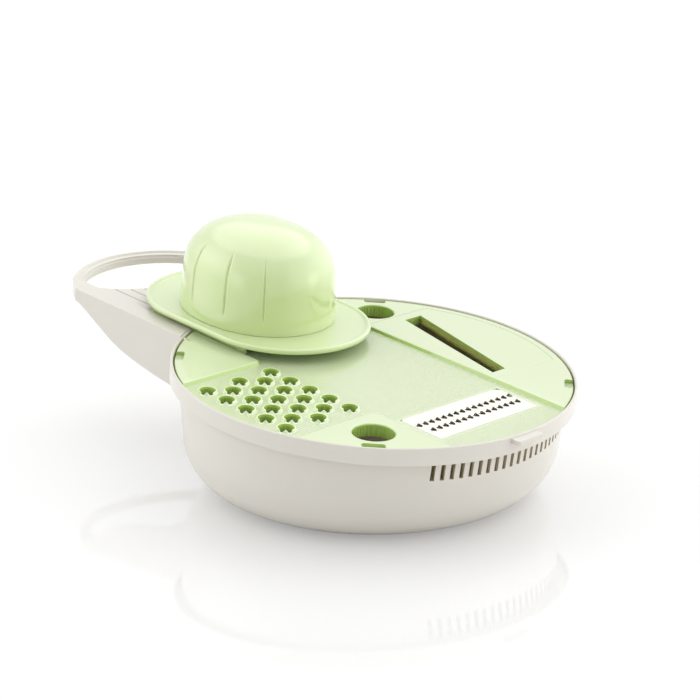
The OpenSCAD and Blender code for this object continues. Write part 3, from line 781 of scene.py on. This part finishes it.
class SLICER_OT_basin(bpy.types.Operator):
    """Draining basin: turned body, tilted rim band, plate ledge, drain slots and lift tab"""

    bl_idname = "slicer.basin"
    bl_label = "Basin"

    def execute(self, context):
        steps = 288
        angles = [2 * math.pi * i / steps for i in range(steps)]
        rings = []

        def level_ring(r, z):
            rings.append([(r * math.cos(a), r * math.sin(a), z) for a in angles])

        def rim_ring(r, z):
            rings.append([from_rim(r * math.cos(a), r * math.sin(a), z) for a in angles])

        def wall_rings(inset, heights):
            top = [basin_wall_point(a, LEDGE_LOW, inset) for a in angles]
            foot_r, foot_z = FLOOR_R + CORNER_R - inset, FOOT + CORNER_R
            for k in heights:
                rings.append([((foot_r * math.cos(a)) * (1 - k) + t[0] * k,
                               (foot_r * math.sin(a)) * (1 - k) + t[1] * k,
                               foot_z * (1 - k) + t[2] * k) for a, t in zip(angles, top)])

        # from the pad's recess out, up the wall, over the rim and back down inside
        level_ring(PAD_R, FOOT + 1)
        level_ring(PAD_R, FOOT + 0.3)
        level_ring(PAD_R + 0.3, FOOT)
        for i in range(13):
            t = math.pi / 2 * i / 12
            level_ring(FLOOR_R + CORNER_R * math.sin(t), FOOT + CORNER_R * (1 - math.cos(t)))
        wall_rings(0.0, [i / 8 for i in range(1, 9)])
        band_in = RIM_R - BAND_T
        section = [(band_in, LEDGE_LOW), (band_in, -BAND_H + 0.4), (band_in + 0.4, -BAND_H),
                   (RIM_R - 0.7, -BAND_H), (RIM_R - 0.2, -BAND_H + 0.2), (RIM_R, -BAND_H + 0.7),
                   (RIM_R, -5.0)]
        section += [(RIM_R - 1 + math.cos(t), -1 + math.sin(t))
                    for t in (math.pi * i / 8 for i in range(9))]
        section += [(band_in, -4), (band_in, LEDGE_TOP + 0.4), (band_in - 0.4, LEDGE_TOP),
                    (LEDGE_R + 0.3, LEDGE_TOP), (LEDGE_R, LEDGE_TOP - 0.3), (LEDGE_R, LEDGE_LOW)]
        for r, z in section:
            rim_ring(r, z)
        wall_rings(WALL, [1 - i / 6 for i in range(7)])
        for i in range(1, 11):
            t = math.pi / 2 * (1 - i / 10)
            level_ring(FLOOR_R + (CORNER_R - WALL) * math.sin(t),
                       FOOT + CORNER_R - (CORNER_R - WALL) * math.cos(t))
        bowl = new_piece("basin_shell", *loft(rings, ends="cap"))

        # drain slots: one rounded, leaning cutter set on an arc of points
        slot_count, slot_step, slot_w, slot_h = 20, 3, 2.7, 12
        slot_lean = math.radians(-6)
        slot_r, slot_z = 116.5, -18
        cutter = rounded_box("slot cutter", 0, 0, 26, slot_w, -slot_h / 2, slot_h / 2, 1.0)
        cutter.data.transform(Matrix.Rotation(slot_lean, 4, "X"))
        spots, turns = [], []
        for i in range(slot_count):
            a = math.radians((i - (slot_count - 1) / 2) * slot_step + 1)
            spots.append(from_rim(slot_r * math.cos(a), slot_r * math.sin(a), slot_z))
            turns.append((0, RIM_TILT, a))
        slots = set_on_spots("slots", cutter, spots, turns)
        # keys for the finger collars, and the guard's way through the rim
        key = [(FINGER_R + 1.4, -9.5), (FINGER_R + 1.4, 0.5)]
        keys = [turned("key", key, centre=spot) for spot in finger_spots()]
        way = strip_cutter("way", TRACK_Z, 1.0, -130.0, -100.0)
        for piece in keys + [way]:
            piece.data.transform(MM.inverted() @ RIM @ MM)
        carve(bowl, [slots, way] + keys)

        tab_w, tab_l = 8.4, 22
        tab = rounded_box("tab", RIM_R + 1.2, -1.0, tab_w, tab_l, -4, -1.05, 2.2)
        soften(tab, 0.5, 2)
        tab.data.transform(MM.inverted() @ RIM @ MM)
        bowl = joined([bowl, tab])
        dress(bowl, "basin", basin_plastic(), ["basin_bowl"], LEVEL, 30)
        return {"FINISHED"}


class SLICER_OT_handle(bpy.types.Operator):
    """Loop handle: grooved deck, raised arms, side webs and the bow"""

    bl_idname = "slicer.handle"
    bl_label = "Handle"

    def execute(self, context):
        bow_w = 7
        bow_inner = BOW_R - bow_w
        opening_x, opening_r = BOW_X + 62.5, 59
        # the hand opening's arc and the bow's inner arc meet at one point on each side
        apart = opening_x - BOW_X
        across = (bow_inner ** 2 - opening_r ** 2 + apart ** 2) / (2 * apart)
        meet_x = round(-BOW_X - across, 2)
        meet_y = round(math.sqrt(bow_inner ** 2 - across ** 2), 2)
        end = math.degrees(math.asin(ARM_Y / BOW_R))
        inner = math.degrees(math.atan2(meet_y, -meet_x - BOW_X))
        edge = math.degrees(math.atan2(meet_y, opening_x + meet_x))
        rim = math.degrees(math.asin(ARM_Y / RIM_R))
        tip = 42.0
        plan = arc(0, 0, RIM_R + 0.05, 180 - rim, 180 + rim, 30)
        plan += arc(-BOW_X, 0, BOW_R, 180 + end, 180 + tip, 8)
        plan += arc(-BOW_X, 0, bow_inner, 180 + tip, 180 + inner, 4)
        plan += arc(-opening_x, 0, opening_r, -edge, edge, 40)
        plan += arc(-BOW_X, 0, bow_inner, 180 - inner, 180 - tip, 4)
        plan += arc(-BOW_X, 0, BOW_R, 180 - tip, 180 - end, 8)
        deck = prism("handle_loop", plan, TRACK_Z - 2.5, 0)
        soften(deck, 0.9, 3, 50)
        groove_count, groove_pitch, groove_w, groove_d = 10, 8.5, 0.9, 0.55
        grooves = [rounded_box("groove", -165, (k - (groove_count - 1) / 2) * groove_pitch, 200,
                               groove_w, TRACK_Z - groove_d, 1, 0.4) for k in range(groove_count)]
        # each arm is hollow from below, between its web and the deck
        hollow_l, hollow_w, hollow_in = 77.5, 8.4, 6.8
        under = [rounded_box("hollow", -148.7, side * (ARM_Y - hollow_in), hollow_l, hollow_w,
                             -8, -2.5, 1.5) for side in (-1, 1)]
        carve(deck, [strip_cutter("track", TRACK_Z, 1.0, -262.0, -100.0)])
        carve(deck, [joined(grooves), joined(under)])

        # bow: a rounded bar with a bead on its outer top edge and a step on its inner side
        bar = [(68, -8.3), (68, -3.4), (67.8, -2.3), (67.1, -1.7), (66.2, -1.5), (65.2, -1.7),
               (64.6, -2.4), (64.2, -2.8), (62.6, -2.9), (61.9, -3.3), (61.8, -4.6), (61.15, -5.0),
               (61, -8.6), (61.6, -9.4), (64, -9.5), (67.2, -9.4)]
        reach, steps = 66, 64
        rings = []
        for i in range(steps + 1):
            a = math.radians(180 - reach + 2 * reach * i / steps)
            rings.append([(-BOW_X + r * math.cos(a), r * math.sin(a), z) for r, z in bar])
        bow = new_piece("bow", *loft(rings, ends="cap"))

        webs = []
        lower = [(-214, -8.4), (-209, -9.4), (-200, -13.4), (-190, -18.2), (-176, -24.8),
                 (-166, -28.2), (-157, -30.2), (-145, -32.4), (-133, -34.2), (-115, -36), (-99, -37)]
        outline = lower + [(-99, -0.8), (-214, -0.8)]
        half = 1.3
        for side in (-1, 1):
            web = prism("web", outline, -half, half)
            soften(web, 0.7, 3, 50)
            web.data.transform(Matrix.Translation((0, side * (ARM_Y - half), 0))
                               @ Matrix.Rotation(math.pi / 2, 4, "X"))
            webs.append(web)
        handle = joined([deck, bow] + webs)
        dress(handle, "basin", basin_plastic(), ["basin_handle"])
        return {"FINISHED"}


class SLICER_OT_pad(bpy.types.Operator):
    """Non-slip pad under the basin, with rings pressed into its underside"""

    bl_idname = "slicer.pad"
    bl_label = "Non-slip pad"

    def execute(self, context):
        profile = [(PAD_R - 0.1, FOOT + 0.95), (PAD_R - 0.1, 0.3), (PAD_R - 0.4, 0.0)]
        for r in range(68, 8, -6):
            profile += [(r + 1.0, 0.0), (r + 0.7, 0.35), (r - 0.7, 0.35), (r - 1.0, 0.0)]
        pad = turned("pad_rings", profile, 128)
        made, build, shader = material("matt rubber")
        place = build.node("ShaderNodeTexCoord").outputs["Object"]
        grain = build.node("ShaderNodeTexNoise", {"Vector": place, "Scale": 900.0, "Detail": 4.0})
        mix = build.node("ShaderNodeMix", {0: grain.outputs[0], 6: tone(196, 194, 188),
                                           7: tone(182, 180, 174)}, data_type="RGBA")
        relief = build.node("ShaderNodeBump", {"Height": grain.outputs[0], "Strength": 0.2,
                                               "Distance": 0.0003})
        made.node_tree.links.new(mix.outputs[2], shader.inputs["Base Color"])
        made.node_tree.links.new(relief.outputs[0], shader.inputs["Normal"])
        shader.inputs["Roughness"].default_value = 0.75
        dress(pad, "basin", made, ["non_slip_pad"], LEVEL)
        return {"FINISHED"}


class SLICER_OT_plate(bpy.types.Operator):
    """Slicer plate: track, grating field, finger holes, notches and the seats of its inserts"""

    bl_idname = "slicer.plate"
    bl_label = "Slicer plate"

    def execute(self, context):
        round_r = 0.9
        edge = [(PLATE_R - 0.4, PLATE_LOW), (PLATE_R, PLATE_LOW + 0.4),
                (PLATE_R, PLATE_TOP - round_r)]
        edge += [(PLATE_R - round_r + round_r * math.cos(t), PLATE_TOP - round_r + round_r * math.sin(t))
                 for t in (math.pi / 8 * i for i in range(1, 5))]
        plate = turned("plate_body", edge, 256)
        collar = [(FINGER_R + 0.6, -9), (FINGER_R + 1, -8.6), (FINGER_R + 1, -4)]
        carve(plate, [turned("collar", collar, 64, centre=spot) for spot in finger_spots()], "UNION")

        # finger holes with a rounded upper edge
        hole = [(FINGER_R + out, z) for out, z in (
            (0.3, -9.5), (0, -8.7), (0, -1.9), (0.12, -1.5), (0.4, -1.15), (0.85, -0.9),
            (1.35, -0.79), (1.5, 0.5))]
        cutters = [track_cutter()] + [turned("finger", hole, 64, centre=spot) for spot in finger_spots()]
        for a in (-135, -45, 42, 135):
            notch = rounded_box("notch", PLATE_R + 1.9, 0, 15, 14, TRACK_Z, 1, 2.0)
            notch.data.transform(Matrix.Rotation(math.radians(a), 4, "Z"))
            cutters.append(notch)
        window_gap = 0.24
        cutters.append(prism("panel seat", panel_outline(0), PANEL_LOW, 1))
        cutters.append(rounded_box("window", SHRED_X, 0, SHRED_W + window_gap, SHRED_L + window_gap,
                                   INSERT_SEAT, 1, 0.4))
        carve(plate, cutters)
        through = [prism("slot", slot_outline(), -8, 1), insert_opening(-8, 1)]
        drill = turned("drill", [(HOLE_R, -8), (HOLE_R, 1)], 32)
        through.append(set_in_rows("holes", drill, GRATING))
        carve(plate, through)
        dress(plate, "plate", plate_plastic(), ["slicer_plate"])
        return {"FINISHED"}


class SLICER_OT_crowns(bpy.types.Operator):
    """Toothed crowns around the grating holes, set by a staggered rule"""

    bl_idname = "slicer.crowns"
    bl_label = "Grating crowns"

    def execute(self, context):
        tall = context.scene.slicer.crown_height * 1000
        facing = -45.0
        # directions of the ring's points from the way it faces, close together at the teeth
        offsets = [-180 + 10 * k for k in range(13)] + [-56, -52, -49, -46, -43.5, -41, -37, -33, -29,
                                                        -25, -21, -17.5, -13, -8.5, -4, -1.5]
        offsets += [-a for a in reversed(offsets[1:])]

        def height(off):
            """Ring height: a pointed tooth in the middle of a gap, a level ring elsewhere."""
            least, tooth_half = 0.15, 21
            off = abs(off)
            if off < tooth_half:
                return least + (tall - least) * (1 - off / tooth_half) ** 0.85
            rise = min(1.0, max(0.0, (off - 38) / 9))
            return least + (0.78 * tall - least) * rise * rise * (3 - 2 * rise)

        rings = [[] for _ in range(7)]
        for off in offsets:
            a = math.radians(facing + off)
            up = height(off)
            # the wall's half thickness and its middle radius
            thin = 0.12 + 0.23 * min(1.0, up)
            middle = 5.42 - 0.1 * up
            for ring, r, z in zip(rings, (4.9, 6.5, 6.1, middle + thin, middle, middle - thin, HOLE_R),
                                  (TRACK_Z - 0.6, TRACK_Z - 0.04, TRACK_Z + 0.1,
                                   TRACK_Z + up - 0.12, TRACK_Z + up, TRACK_Z + up - 0.12,
                                   TRACK_Z + 0.02)):
                ring.append((r * math.cos(a), r * math.sin(a), z))
        crown = new_piece("crown", *loft(rings, loop=True))
        # the crown's inner face is marked, for a painted shade of deeper green
        inner_r = 5.15
        mark = crown.data.attributes.new("inner", "FLOAT", "POINT")
        for i, point in enumerate(crown.data.vertices):
            mark.data[i].value = float(math.hypot(point.co.x, point.co.y) < inner_r)
        crowns = set_in_rows("grating_crowns", crown, GRATING, Material=crown_plastic())
        dress(crowns, "plate", crown_plastic(), sharp=50)
        return {"FINISHED"}


class SLICER_OT_panel(bpy.types.Operator):
    """Slicing panel with its slanted slot, and the steel blade under its far edge"""

    bl_idname = "slicer.panel"
    bl_label = "Slicing panel and blade"

    def execute(self, context):
        panel = prism("panel_body", panel_outline(0.1), PANEL_LOW, PLATE_TOP)
        carve(panel, [prism("slot", slot_outline(), -8, 2)])
        soften(panel, 0.2, 2, 50)
        dress(panel, "plate", plate_plastic(), ["slicing_panel"])

        # section of the ground strip, across its length; it follows the slot's far edge
        strip = [(-1.2, -3.95), (0.9, -3.2), (13.8, -3.2), (13.8, -4.0), (-0.9, -4.0)]
        half = 49
        rings = [[(x, y, z) for y, z in strip] for x in (-half, half)]
        blade = new_piece("blade_strip", *loft(rings, ends="cap"))
        turn = math.atan(math.tan(SLOT_SLANT) + (SLOT_WIDE - SLOT_TIGHT) / (2 * SLOT_HALF))
        blade.data.transform(Matrix.Translation((0, 78.4, 0)) @ Matrix.Rotation(-turn, 4, "Z"))
        dress(blade, "plate", blade_steel_with_painted_shade(), ["slicing_blade"], sharp=20)
        return {"FINISHED"}


class SLICER_OT_shredder(bpy.types.Operator):
    """Shredding insert: a steel sheet with two staggered rows of punched teeth on its frame"""

    bl_idname = "slicer.shredder"
    bl_label = "Shredding insert"

    def execute(self, context):
        pattern = {"Columns": 16, "Rows": 2, "Pitch": 5.2, "Row Spacing": 9.0,
                   "Middle": (SHRED_X - 0.7, 0.6, 0), "Turn": (0, 0, -math.pi / 2)}
        # turned by a quarter, the pattern's long row lies at the smaller X
        near, far, end = SHRED_X - SHRED_W / 2, SHRED_X + SHRED_W / 2, SHRED_L / 2
        sheet_outline = [(far, -end), (far, end)] + arc(near + 5, end - 5, 5, 90, 180, 8)
        sheet_outline += arc(near + 3, 3 - end, 3, 180, 270, 6)
        sheet = prism("shredder_sheet", sheet_outline, SHEET_LOW, SHEET_TOP)
        punch_outline = [(-1.1, -1.7), (0.2, -2.0), (1.3, -1.8), (2.4, -1.1), (3.2, -0.3),
                         (3.2, 0.3), (2.4, 1.1), (1.3, 1.8), (0.2, 2.0), (-1.1, 1.7)]
        punch = prism("punch", punch_outline, -6, 0)
        carve(sheet, [set_in_rows("punches", punch, pattern)])
        # a punched tooth: a thin half dome that rises towards its opening
        rows, across = 6, 8
        tooth_l, tooth_half, tooth_up, tooth_t = 2.2, 1.5, 1.3, 0.3
        shell = []
        for lift in (0.0, tooth_t):
            grid = []
            for i in range(rows + 1):
                u = i / rows
                for j in range(across + 1):
                    v = 2 * j / across - 1
                    arch = math.sqrt(max(0.0, 1 - v * v))
                    grid.append((-tooth_l + tooth_l * u, tooth_half * v,
                                 -3.3 + lift + tooth_up * math.sin(math.pi * u / 2) * arch))
            shell.append(grid)
        verts = shell[0] + shell[1]
        count, wide = len(shell[0]), across + 1
        faces = []
        for i in range(rows):
            for j in range(across):
                a = i * wide + j
                quad = (a, a + 1, a + 1 + wide, a + wide)
                faces.append(quad)
                faces.append(tuple(count + k for k in reversed(quad)))
        border = (list(range(across)) + [i * wide + across for i in range(rows)]
                  + [rows * wide + across - j for j in range(across)]
                  + [(rows - i) * wide for i in range(rows)])
        for a, b in zip(border, border[1:] + border[:1]):
            faces.append((a, b, count + b, count + a))
        tooth = new_piece("tooth", verts, faces)
        sheet = joined([sheet, set_in_rows("teeth", tooth, pattern, Material=sheet_steel())])
        dress(sheet, "plate", sheet_steel(), ["shredder_blade"], sharp=40)

        border_frame = rounded_box("insert_border", SHRED_X, 0, SHRED_W, SHRED_L, INSERT_SEAT,
                                   SHEET_LOW, 0.8)
        carve(border_frame, [insert_opening(-6, -3)])
        dress(border_frame, "plate", plate_plastic(), ["shredder_frame"])
        return {"FINISHED"}


class SLICER_OT_screws(bpy.types.Operator):
    """Cross-headed screws under the plate and in the guard"""

    bl_idname = "slicer.screws"
    bl_label = "Screws"

    def execute(self, context):
        head_h = 1.6

        def screw(length):
            """A screw that points up, with its head's face at 0 and the given length of shank."""
            head = turned("screw", [(2.0, 0.0), (2.5, 0.35), (2.6, 1.0), (2.6, head_h), (1.3, head_h),
                                    (1.3, head_h + length - 0.8), (0.6, head_h + length)], 24)
            carve(head, [rounded_box("cross", 0, 0, wide, deep, -1, 0.8, 0.2)
                         for wide, deep in ((3.2, 0.7), (0.7, 3.2))])
            return head

        steel_finish = screw_steel()
        panel_x, guard_x, guard_y = 51.5, 34.20, 30.87
        panel_spots = [(sx * panel_x, y, PLATE_LOW) for y in (58, 97) for sx in (-1, 1)]
        guard_spots = [(sx * guard_x, sy * guard_y, BRIM_LOW - head_h)
                       for sy in (-1, 1) for sx in (-1, 1)]
        holder_spots = [(x, 0, BRIM_FACE + HOLDER_UP - head_h) for x in (-17, 17)]
        sets = (
            ("panel_screws", "plate", RIM, 2.8, panel_spots, ["panel_screw_%d" % i for i in range(1, 5)]),
            ("guard_screws", "guard", GUARD, 9.0, guard_spots, ["guard_screw_%d" % i for i in range(1, 5)]),
            ("holder_screws", "guard", GUARD, 9.0, holder_spots, ["holder_screw_1", "holder_screw_2"]),
        )
        for name, body, place, length, spots, nodes in sets:
            made = set_on_spots(name, screw(length), spots, Material=steel_finish)
            dress(made, body, steel_finish, nodes, place)
        return {"FINISHED"}


class SLICER_OT_brim(bpy.types.Operator):
    """Guard brim: a flat oval with a raised rounded lip, its mouth and two runners"""

    bl_idname = "slicer.brim"
    bl_label = "Guard brim"

    def execute(self, context):
        section = [(5.4, 5.0), (4.4, 5.03), (3.7, 5.2), (3.2, 5.6), (2.7, 6.05), (2.1, 6.3),
                   (1.5, 6.38), (0.9, 6.2), (0.4, 5.8), (0.1, 5.2), (0.0, 4.5), (0.15, 3.7),
                   (0.5, 3.05), (1.1, 2.65), (1.8, 2.6), (2.6, 2.75), (3.4, 3.0), (5.4, 3.0)]
        rings = [[(x, y, z) for x, y in stadium(BRIM_HALF, BRIM_R - inset)] for inset, z in section]
        mouth_in = 9
        mouth = [(0.25, 3.0), (0, 3.25), (0, 4.75), (0.25, 5.0)]
        rings += [[(x, y, z) for x, y in stadium(DOME_HALF, DOME_R - mouth_in + out)]
                  for out, z in mouth]
        brim = new_piece("brim_body", *loft(rings, loop=True))
        # two runners keep the guard on the track's floor, clear of its walls
        runner_l, runner_w, runner_gap = 88, 3.2, 0.5
        runner_y = TRACK_HALF - runner_gap - runner_w / 2
        runners = []
        for side in (-1, 1):
            runner = rounded_box("runner", -4, side * runner_y, runner_l, runner_w,
                                 TRACK_Z + 0.3, 3.4, 1.2)
            soften(runner, 0.35, 2, 50)
            runners.append(runner)
        brim = joined([brim] + runners)
        dress(brim, "guard", guard_plastic(), ["guard_brim"], GUARD)
        return {"FINISHED"}


class SLICER_OT_dome(bpy.types.Operator):
    """Guard dome: a hat-shaped shell with four upright finger grooves on each long side"""

    bl_idname = "slicer.dome"
    bl_label = "Guard dome"

    def execute(self, context):
        depth = context.scene.slicer.groove_depth * 1000
        grooves = [math.radians(side + 30 * k) for side in (45, 225) for k in range(4)]
        # directions of the outline's points: close together across a groove, even between grooves
        across = 3.2
        turns = set()
        for g in grooves:
            for step in (-across, -2.2, -1.5, -1.0, -0.6, -0.25, 0, 0.25, 0.6, 1.0, 1.5, 2.2, across):
                turns.add(round(math.degrees(g) + step, 3) % 360)
        turns.update(round(across + 30 * i + 23.6 * k / 6 + 15, 3) % 360
                     for i in range(12) for k in range(1, 6))
        turns.update((15, 165, 195, 345))
        turns = [math.radians(t) for t in sorted(turns)]

        def ring(z, inset, grooved):
            share = dome_outline_scale(z)
            r = (DOME_R - inset - DOME_LEAN * z) * share
            half = DOME_HALF * share ** 0.6
            points = []
            for t in turns:
                cut = 0.0
                if grooved:
                    near = min(abs(math.degrees(t - g)) for g in grooves)
                    near = min(near, 360 - near)
                    fade = min(1.0, max(0.0, (z - 9) / 2)) * min(1.0, max(0.0, (46.5 - z) / 1.5))
                    cut = depth * fade * math.exp(-((near / 0.75) ** 2))
                # an oval outline: longer along X by the dome's straight half
                x = (r - cut) * math.cos(t) + half * math.cos(t) * (2 - abs(math.cos(t)))
                y = (r - cut) * math.sin(t)
                points.append((x, y, BRIM_FACE + z))
            return points

        heights = [0.45, 1.0, 2.5] + [2.5 + (DOME_SHOULDER - 2.5) * i / 14 for i in range(1, 15)]
        heights += [DOME_SHOULDER + (DOME_H - DOME_SHOULDER) * math.sin(math.pi / 2 * i / 22)
                    for i in range(1, 22)]
        rings = [ring(0.0, 0.45, False)] + [ring(z, 0, True) for z in heights]
        top = [(0.0, 0.0, BRIM_FACE + DOME_H)] * len(turns)
        inner_top = [(0.0, 0.0, BRIM_FACE + DOME_H - DOME_WALL)] * len(turns)
        inner = [ring(z * (DOME_H - DOME_WALL) / DOME_H, DOME_WALL, False)
                 for z in reversed(heights[::2])]
        rings = rings + [top, inner_top] + inner + [ring(0.0, DOME_WALL, False)]
        dome = new_piece("dome_shell", *loft(rings, loop=True))
        dress(dome, "guard", guard_plastic(), ["guard_cap"], GUARD, 40)
        return {"FINISHED"}


class SLICER_OT_holder(bpy.types.Operator):
    """Holder plate and its pins inside the dome"""

    bl_idname = "slicer.holder"
    bl_label = "Food holder"

    def execute(self, context):
        low = BRIM_FACE + HOLDER_UP
        # clear of the dome's wall, which leans in and starts to round over at this height
        gap, rounding = 1, 1.5
        lean = DOME_LEAN * (HOLDER_UP + HOLDER_T)
        outline = stadium(DOME_HALF, DOME_R - DOME_WALL - gap - lean - rounding)
        holder = prism("holder_plate", outline, low, low + HOLDER_T)
        soften(holder, 0.4, 2, 50)
        ribs = [rounded_box("rib", x, 0, 1.6, 70, low - 2.0, low + 0.5, 0.6) for x in (-8.5, 8.5)]
        holder = joined([holder] + ribs)
        dress(holder, "guard", guard_plastic(), ["prong_plate"], GUARD)

        pitch = 17
        pin = turned("pin", [(0.2, -24), (0.9, -21), (0.9, 1.2)], 12)
        spots = [(x * pitch, y * pitch, low) for x in (-1.5, -0.5, 0.5, 1.5) for y in (-1, 0, 1)]
        finish = screw_steel()
        pins = set_on_spots("pin_set", pin, spots, Material=finish)
        dress(pins, "guard", finish, ["holding_pins"], GUARD)
        return {"FINISHED"}


class SLICER_OT_stage(bpy.types.Operator):
    """White floor, soft studio light and the camera"""

    bl_idname = "slicer.stage"
    bl_label = "Stage"

    def execute(self, context):
        self.table()
        self.light(context.scene)
        self.camera(context.scene)
        context.scene.view_settings.view_transform = "Standard"
        return {"FINISHED"}

    def table(self):
        """A glossy white table, which the camera sees glow a little, so that its shadows stay pale."""
        half = 6
        corners = [(-half, -half, 0), (half, -half, 0), (half, half, 0), (-half, half, 0)]
        floor = new_piece("floor", corners, [(0, 1, 2, 3)])
        made, build, shader = material("white table")
        seen = build.node("ShaderNodeLightPath").outputs["Is Camera Ray"]
        lit, shown = (0.93, 0.93, 0.93, 1), (0.57, 0.57, 0.57, 1)
        shade = build.node("ShaderNodeMix", {0: seen, 6: lit, 7: shown}, data_type="RGBA")
        made.node_tree.links.new(shade.outputs[2], shader.inputs["Base Color"])
        made.node_tree.links.new(build.calc("MULTIPLY", seen, 0.28), shader.inputs["Emission Strength"])
        shader.inputs["Emission Color"].default_value = (1, 1, 1, 1)
        shader.inputs["Roughness"].default_value = 0.04
        shader.inputs["Specular IOR Level"].default_value = 0.8
        floor.data.materials.append(made)

    def light(self, scene):
        """A tent of light: its even level, a broad light overhead and the soft lobes."""
        world = bpy.data.worlds.new("studio")
        world.use_nodes = True
        scene.world = world
        build = Tree(world.node_tree)
        shade = world.node_tree.nodes["Background"]
        way = build.node("ShaderNodeTexCoord").outputs["Generated"]
        # the overhead light leans back, and fades out between two cosines from its middle
        middle, outside, inside = (-0.244, 0.24, 0.94), 0.71, 0.81
        overhead = build.node("ShaderNodeMapRange", {0: build.dot(way, middle), 1: outside, 2: inside},
                              interpolation_type="SMOOTHSTEP").outputs[0]
        even, broad, sheen = 0.02, 1.08, 0.7
        glow = build.calc("MULTIPLY_ADD", overhead, broad, even)
        for toward, power, strength in LOBES:
            lobe = build.calc("POWER", build.calc("MAXIMUM", build.dot(way, toward), 0.0), power)
            glow = build.calc("MULTIPLY_ADD", lobe, strength, glow)
        # white where the camera sees it; gloss, metal and glass see it never darker than white,
        # and brighter overhead
        path = build.node("ShaderNodeLightPath").outputs
        mirrored = build.calc("MAXIMUM", path["Is Glossy Ray"], path["Is Transmission Ray"])
        least = build.calc("MULTIPLY", mirrored, build.calc("MULTIPLY_ADD", overhead, sheen, 1.0))
        level = build.node("ShaderNodeMix", {
            0: path["Is Camera Ray"], 2: build.calc("MAXIMUM", glow, least), 3: 1.0},
            data_type="FLOAT")
        world.node_tree.links.new(level.outputs[0], shade.inputs["Strength"])
        shade.inputs["Color"].default_value = (1, 1, 1, 1)

    def camera(self, scene):
        """The camera, placed by its turn around the basin, its height angle and its distance."""
        turn, rise, roll = 0.7939183, 0.3142619, 0.00770045
        distance, sideways, height = 1.4529854, -0.0149847, 0.0861991
        focal_length = 122.2719429
        right = Vector((math.cos(turn), math.sin(turn), 0))
        ahead = Vector((-math.sin(turn), math.cos(turn), 0))
        aim = right * sideways + Vector((RIM_SHIFT * 0.001, 0, height))
        back = ahead * -math.cos(rise) + Vector((0, 0, math.sin(rise)))
        up = ahead * math.sin(rise) + Vector((0, 0, math.cos(rise)))
        data = bpy.data.cameras.new("camera")
        data.sensor_width = 36.0
        data.lens = focal_length
        camera = bpy.data.objects.new("camera", data)
        scene.collection.objects.link(camera)
        tilted_right = right * math.cos(roll) + up * math.sin(roll)
        tilted_up = up * math.cos(roll) - right * math.sin(roll)
        turned_axes = Matrix((tilted_right, tilted_up, back)).transposed().to_4x4()
        camera.matrix_world = Matrix.Translation(aim + back * distance) @ turned_axes
        scene.camera = camera


class SLICER_PT_panel(bpy.types.Panel):
    """Lists the slicer's settings and pieces"""

    bl_idname = "SLICER_PT_panel"
    bl_label = "Round Mandoline Slicer"
    bl_space_type = "VIEW_3D"
    bl_region_type = "UI"
    bl_category = "Slicer"

    def draw(self, context):
        settings = context.scene.slicer
        for name in SlicerSettings.__annotations__:
            self.layout.prop(settings, name)
        for step in STEPS:
            self.layout.operator(step.bl_idname)


STEPS = (SLICER_OT_stage, SLICER_OT_basin, SLICER_OT_handle, SLICER_OT_pad, SLICER_OT_plate,
         SLICER_OT_crowns, SLICER_OT_panel, SLICER_OT_shredder, SLICER_OT_screws, SLICER_OT_brim,
         SLICER_OT_dome, SLICER_OT_holder)
CLASSES = (SlicerSettings,) + STEPS + (SLICER_PT_panel,)


def register():
    for made in CLASSES:
        bpy.utils.register_class(made)
    bpy.types.Scene.slicer = PointerProperty(type=SlicerSettings)


def unregister():
    del bpy.types.Scene.slicer
    for made in reversed(CLASSES):
        bpy.utils.unregister_class(made)


def main():
    register()
    for step in STEPS:
        getattr(bpy.ops.slicer, step.bl_idname.split(".")[1])()


if __name__ == "__main__":
    main()
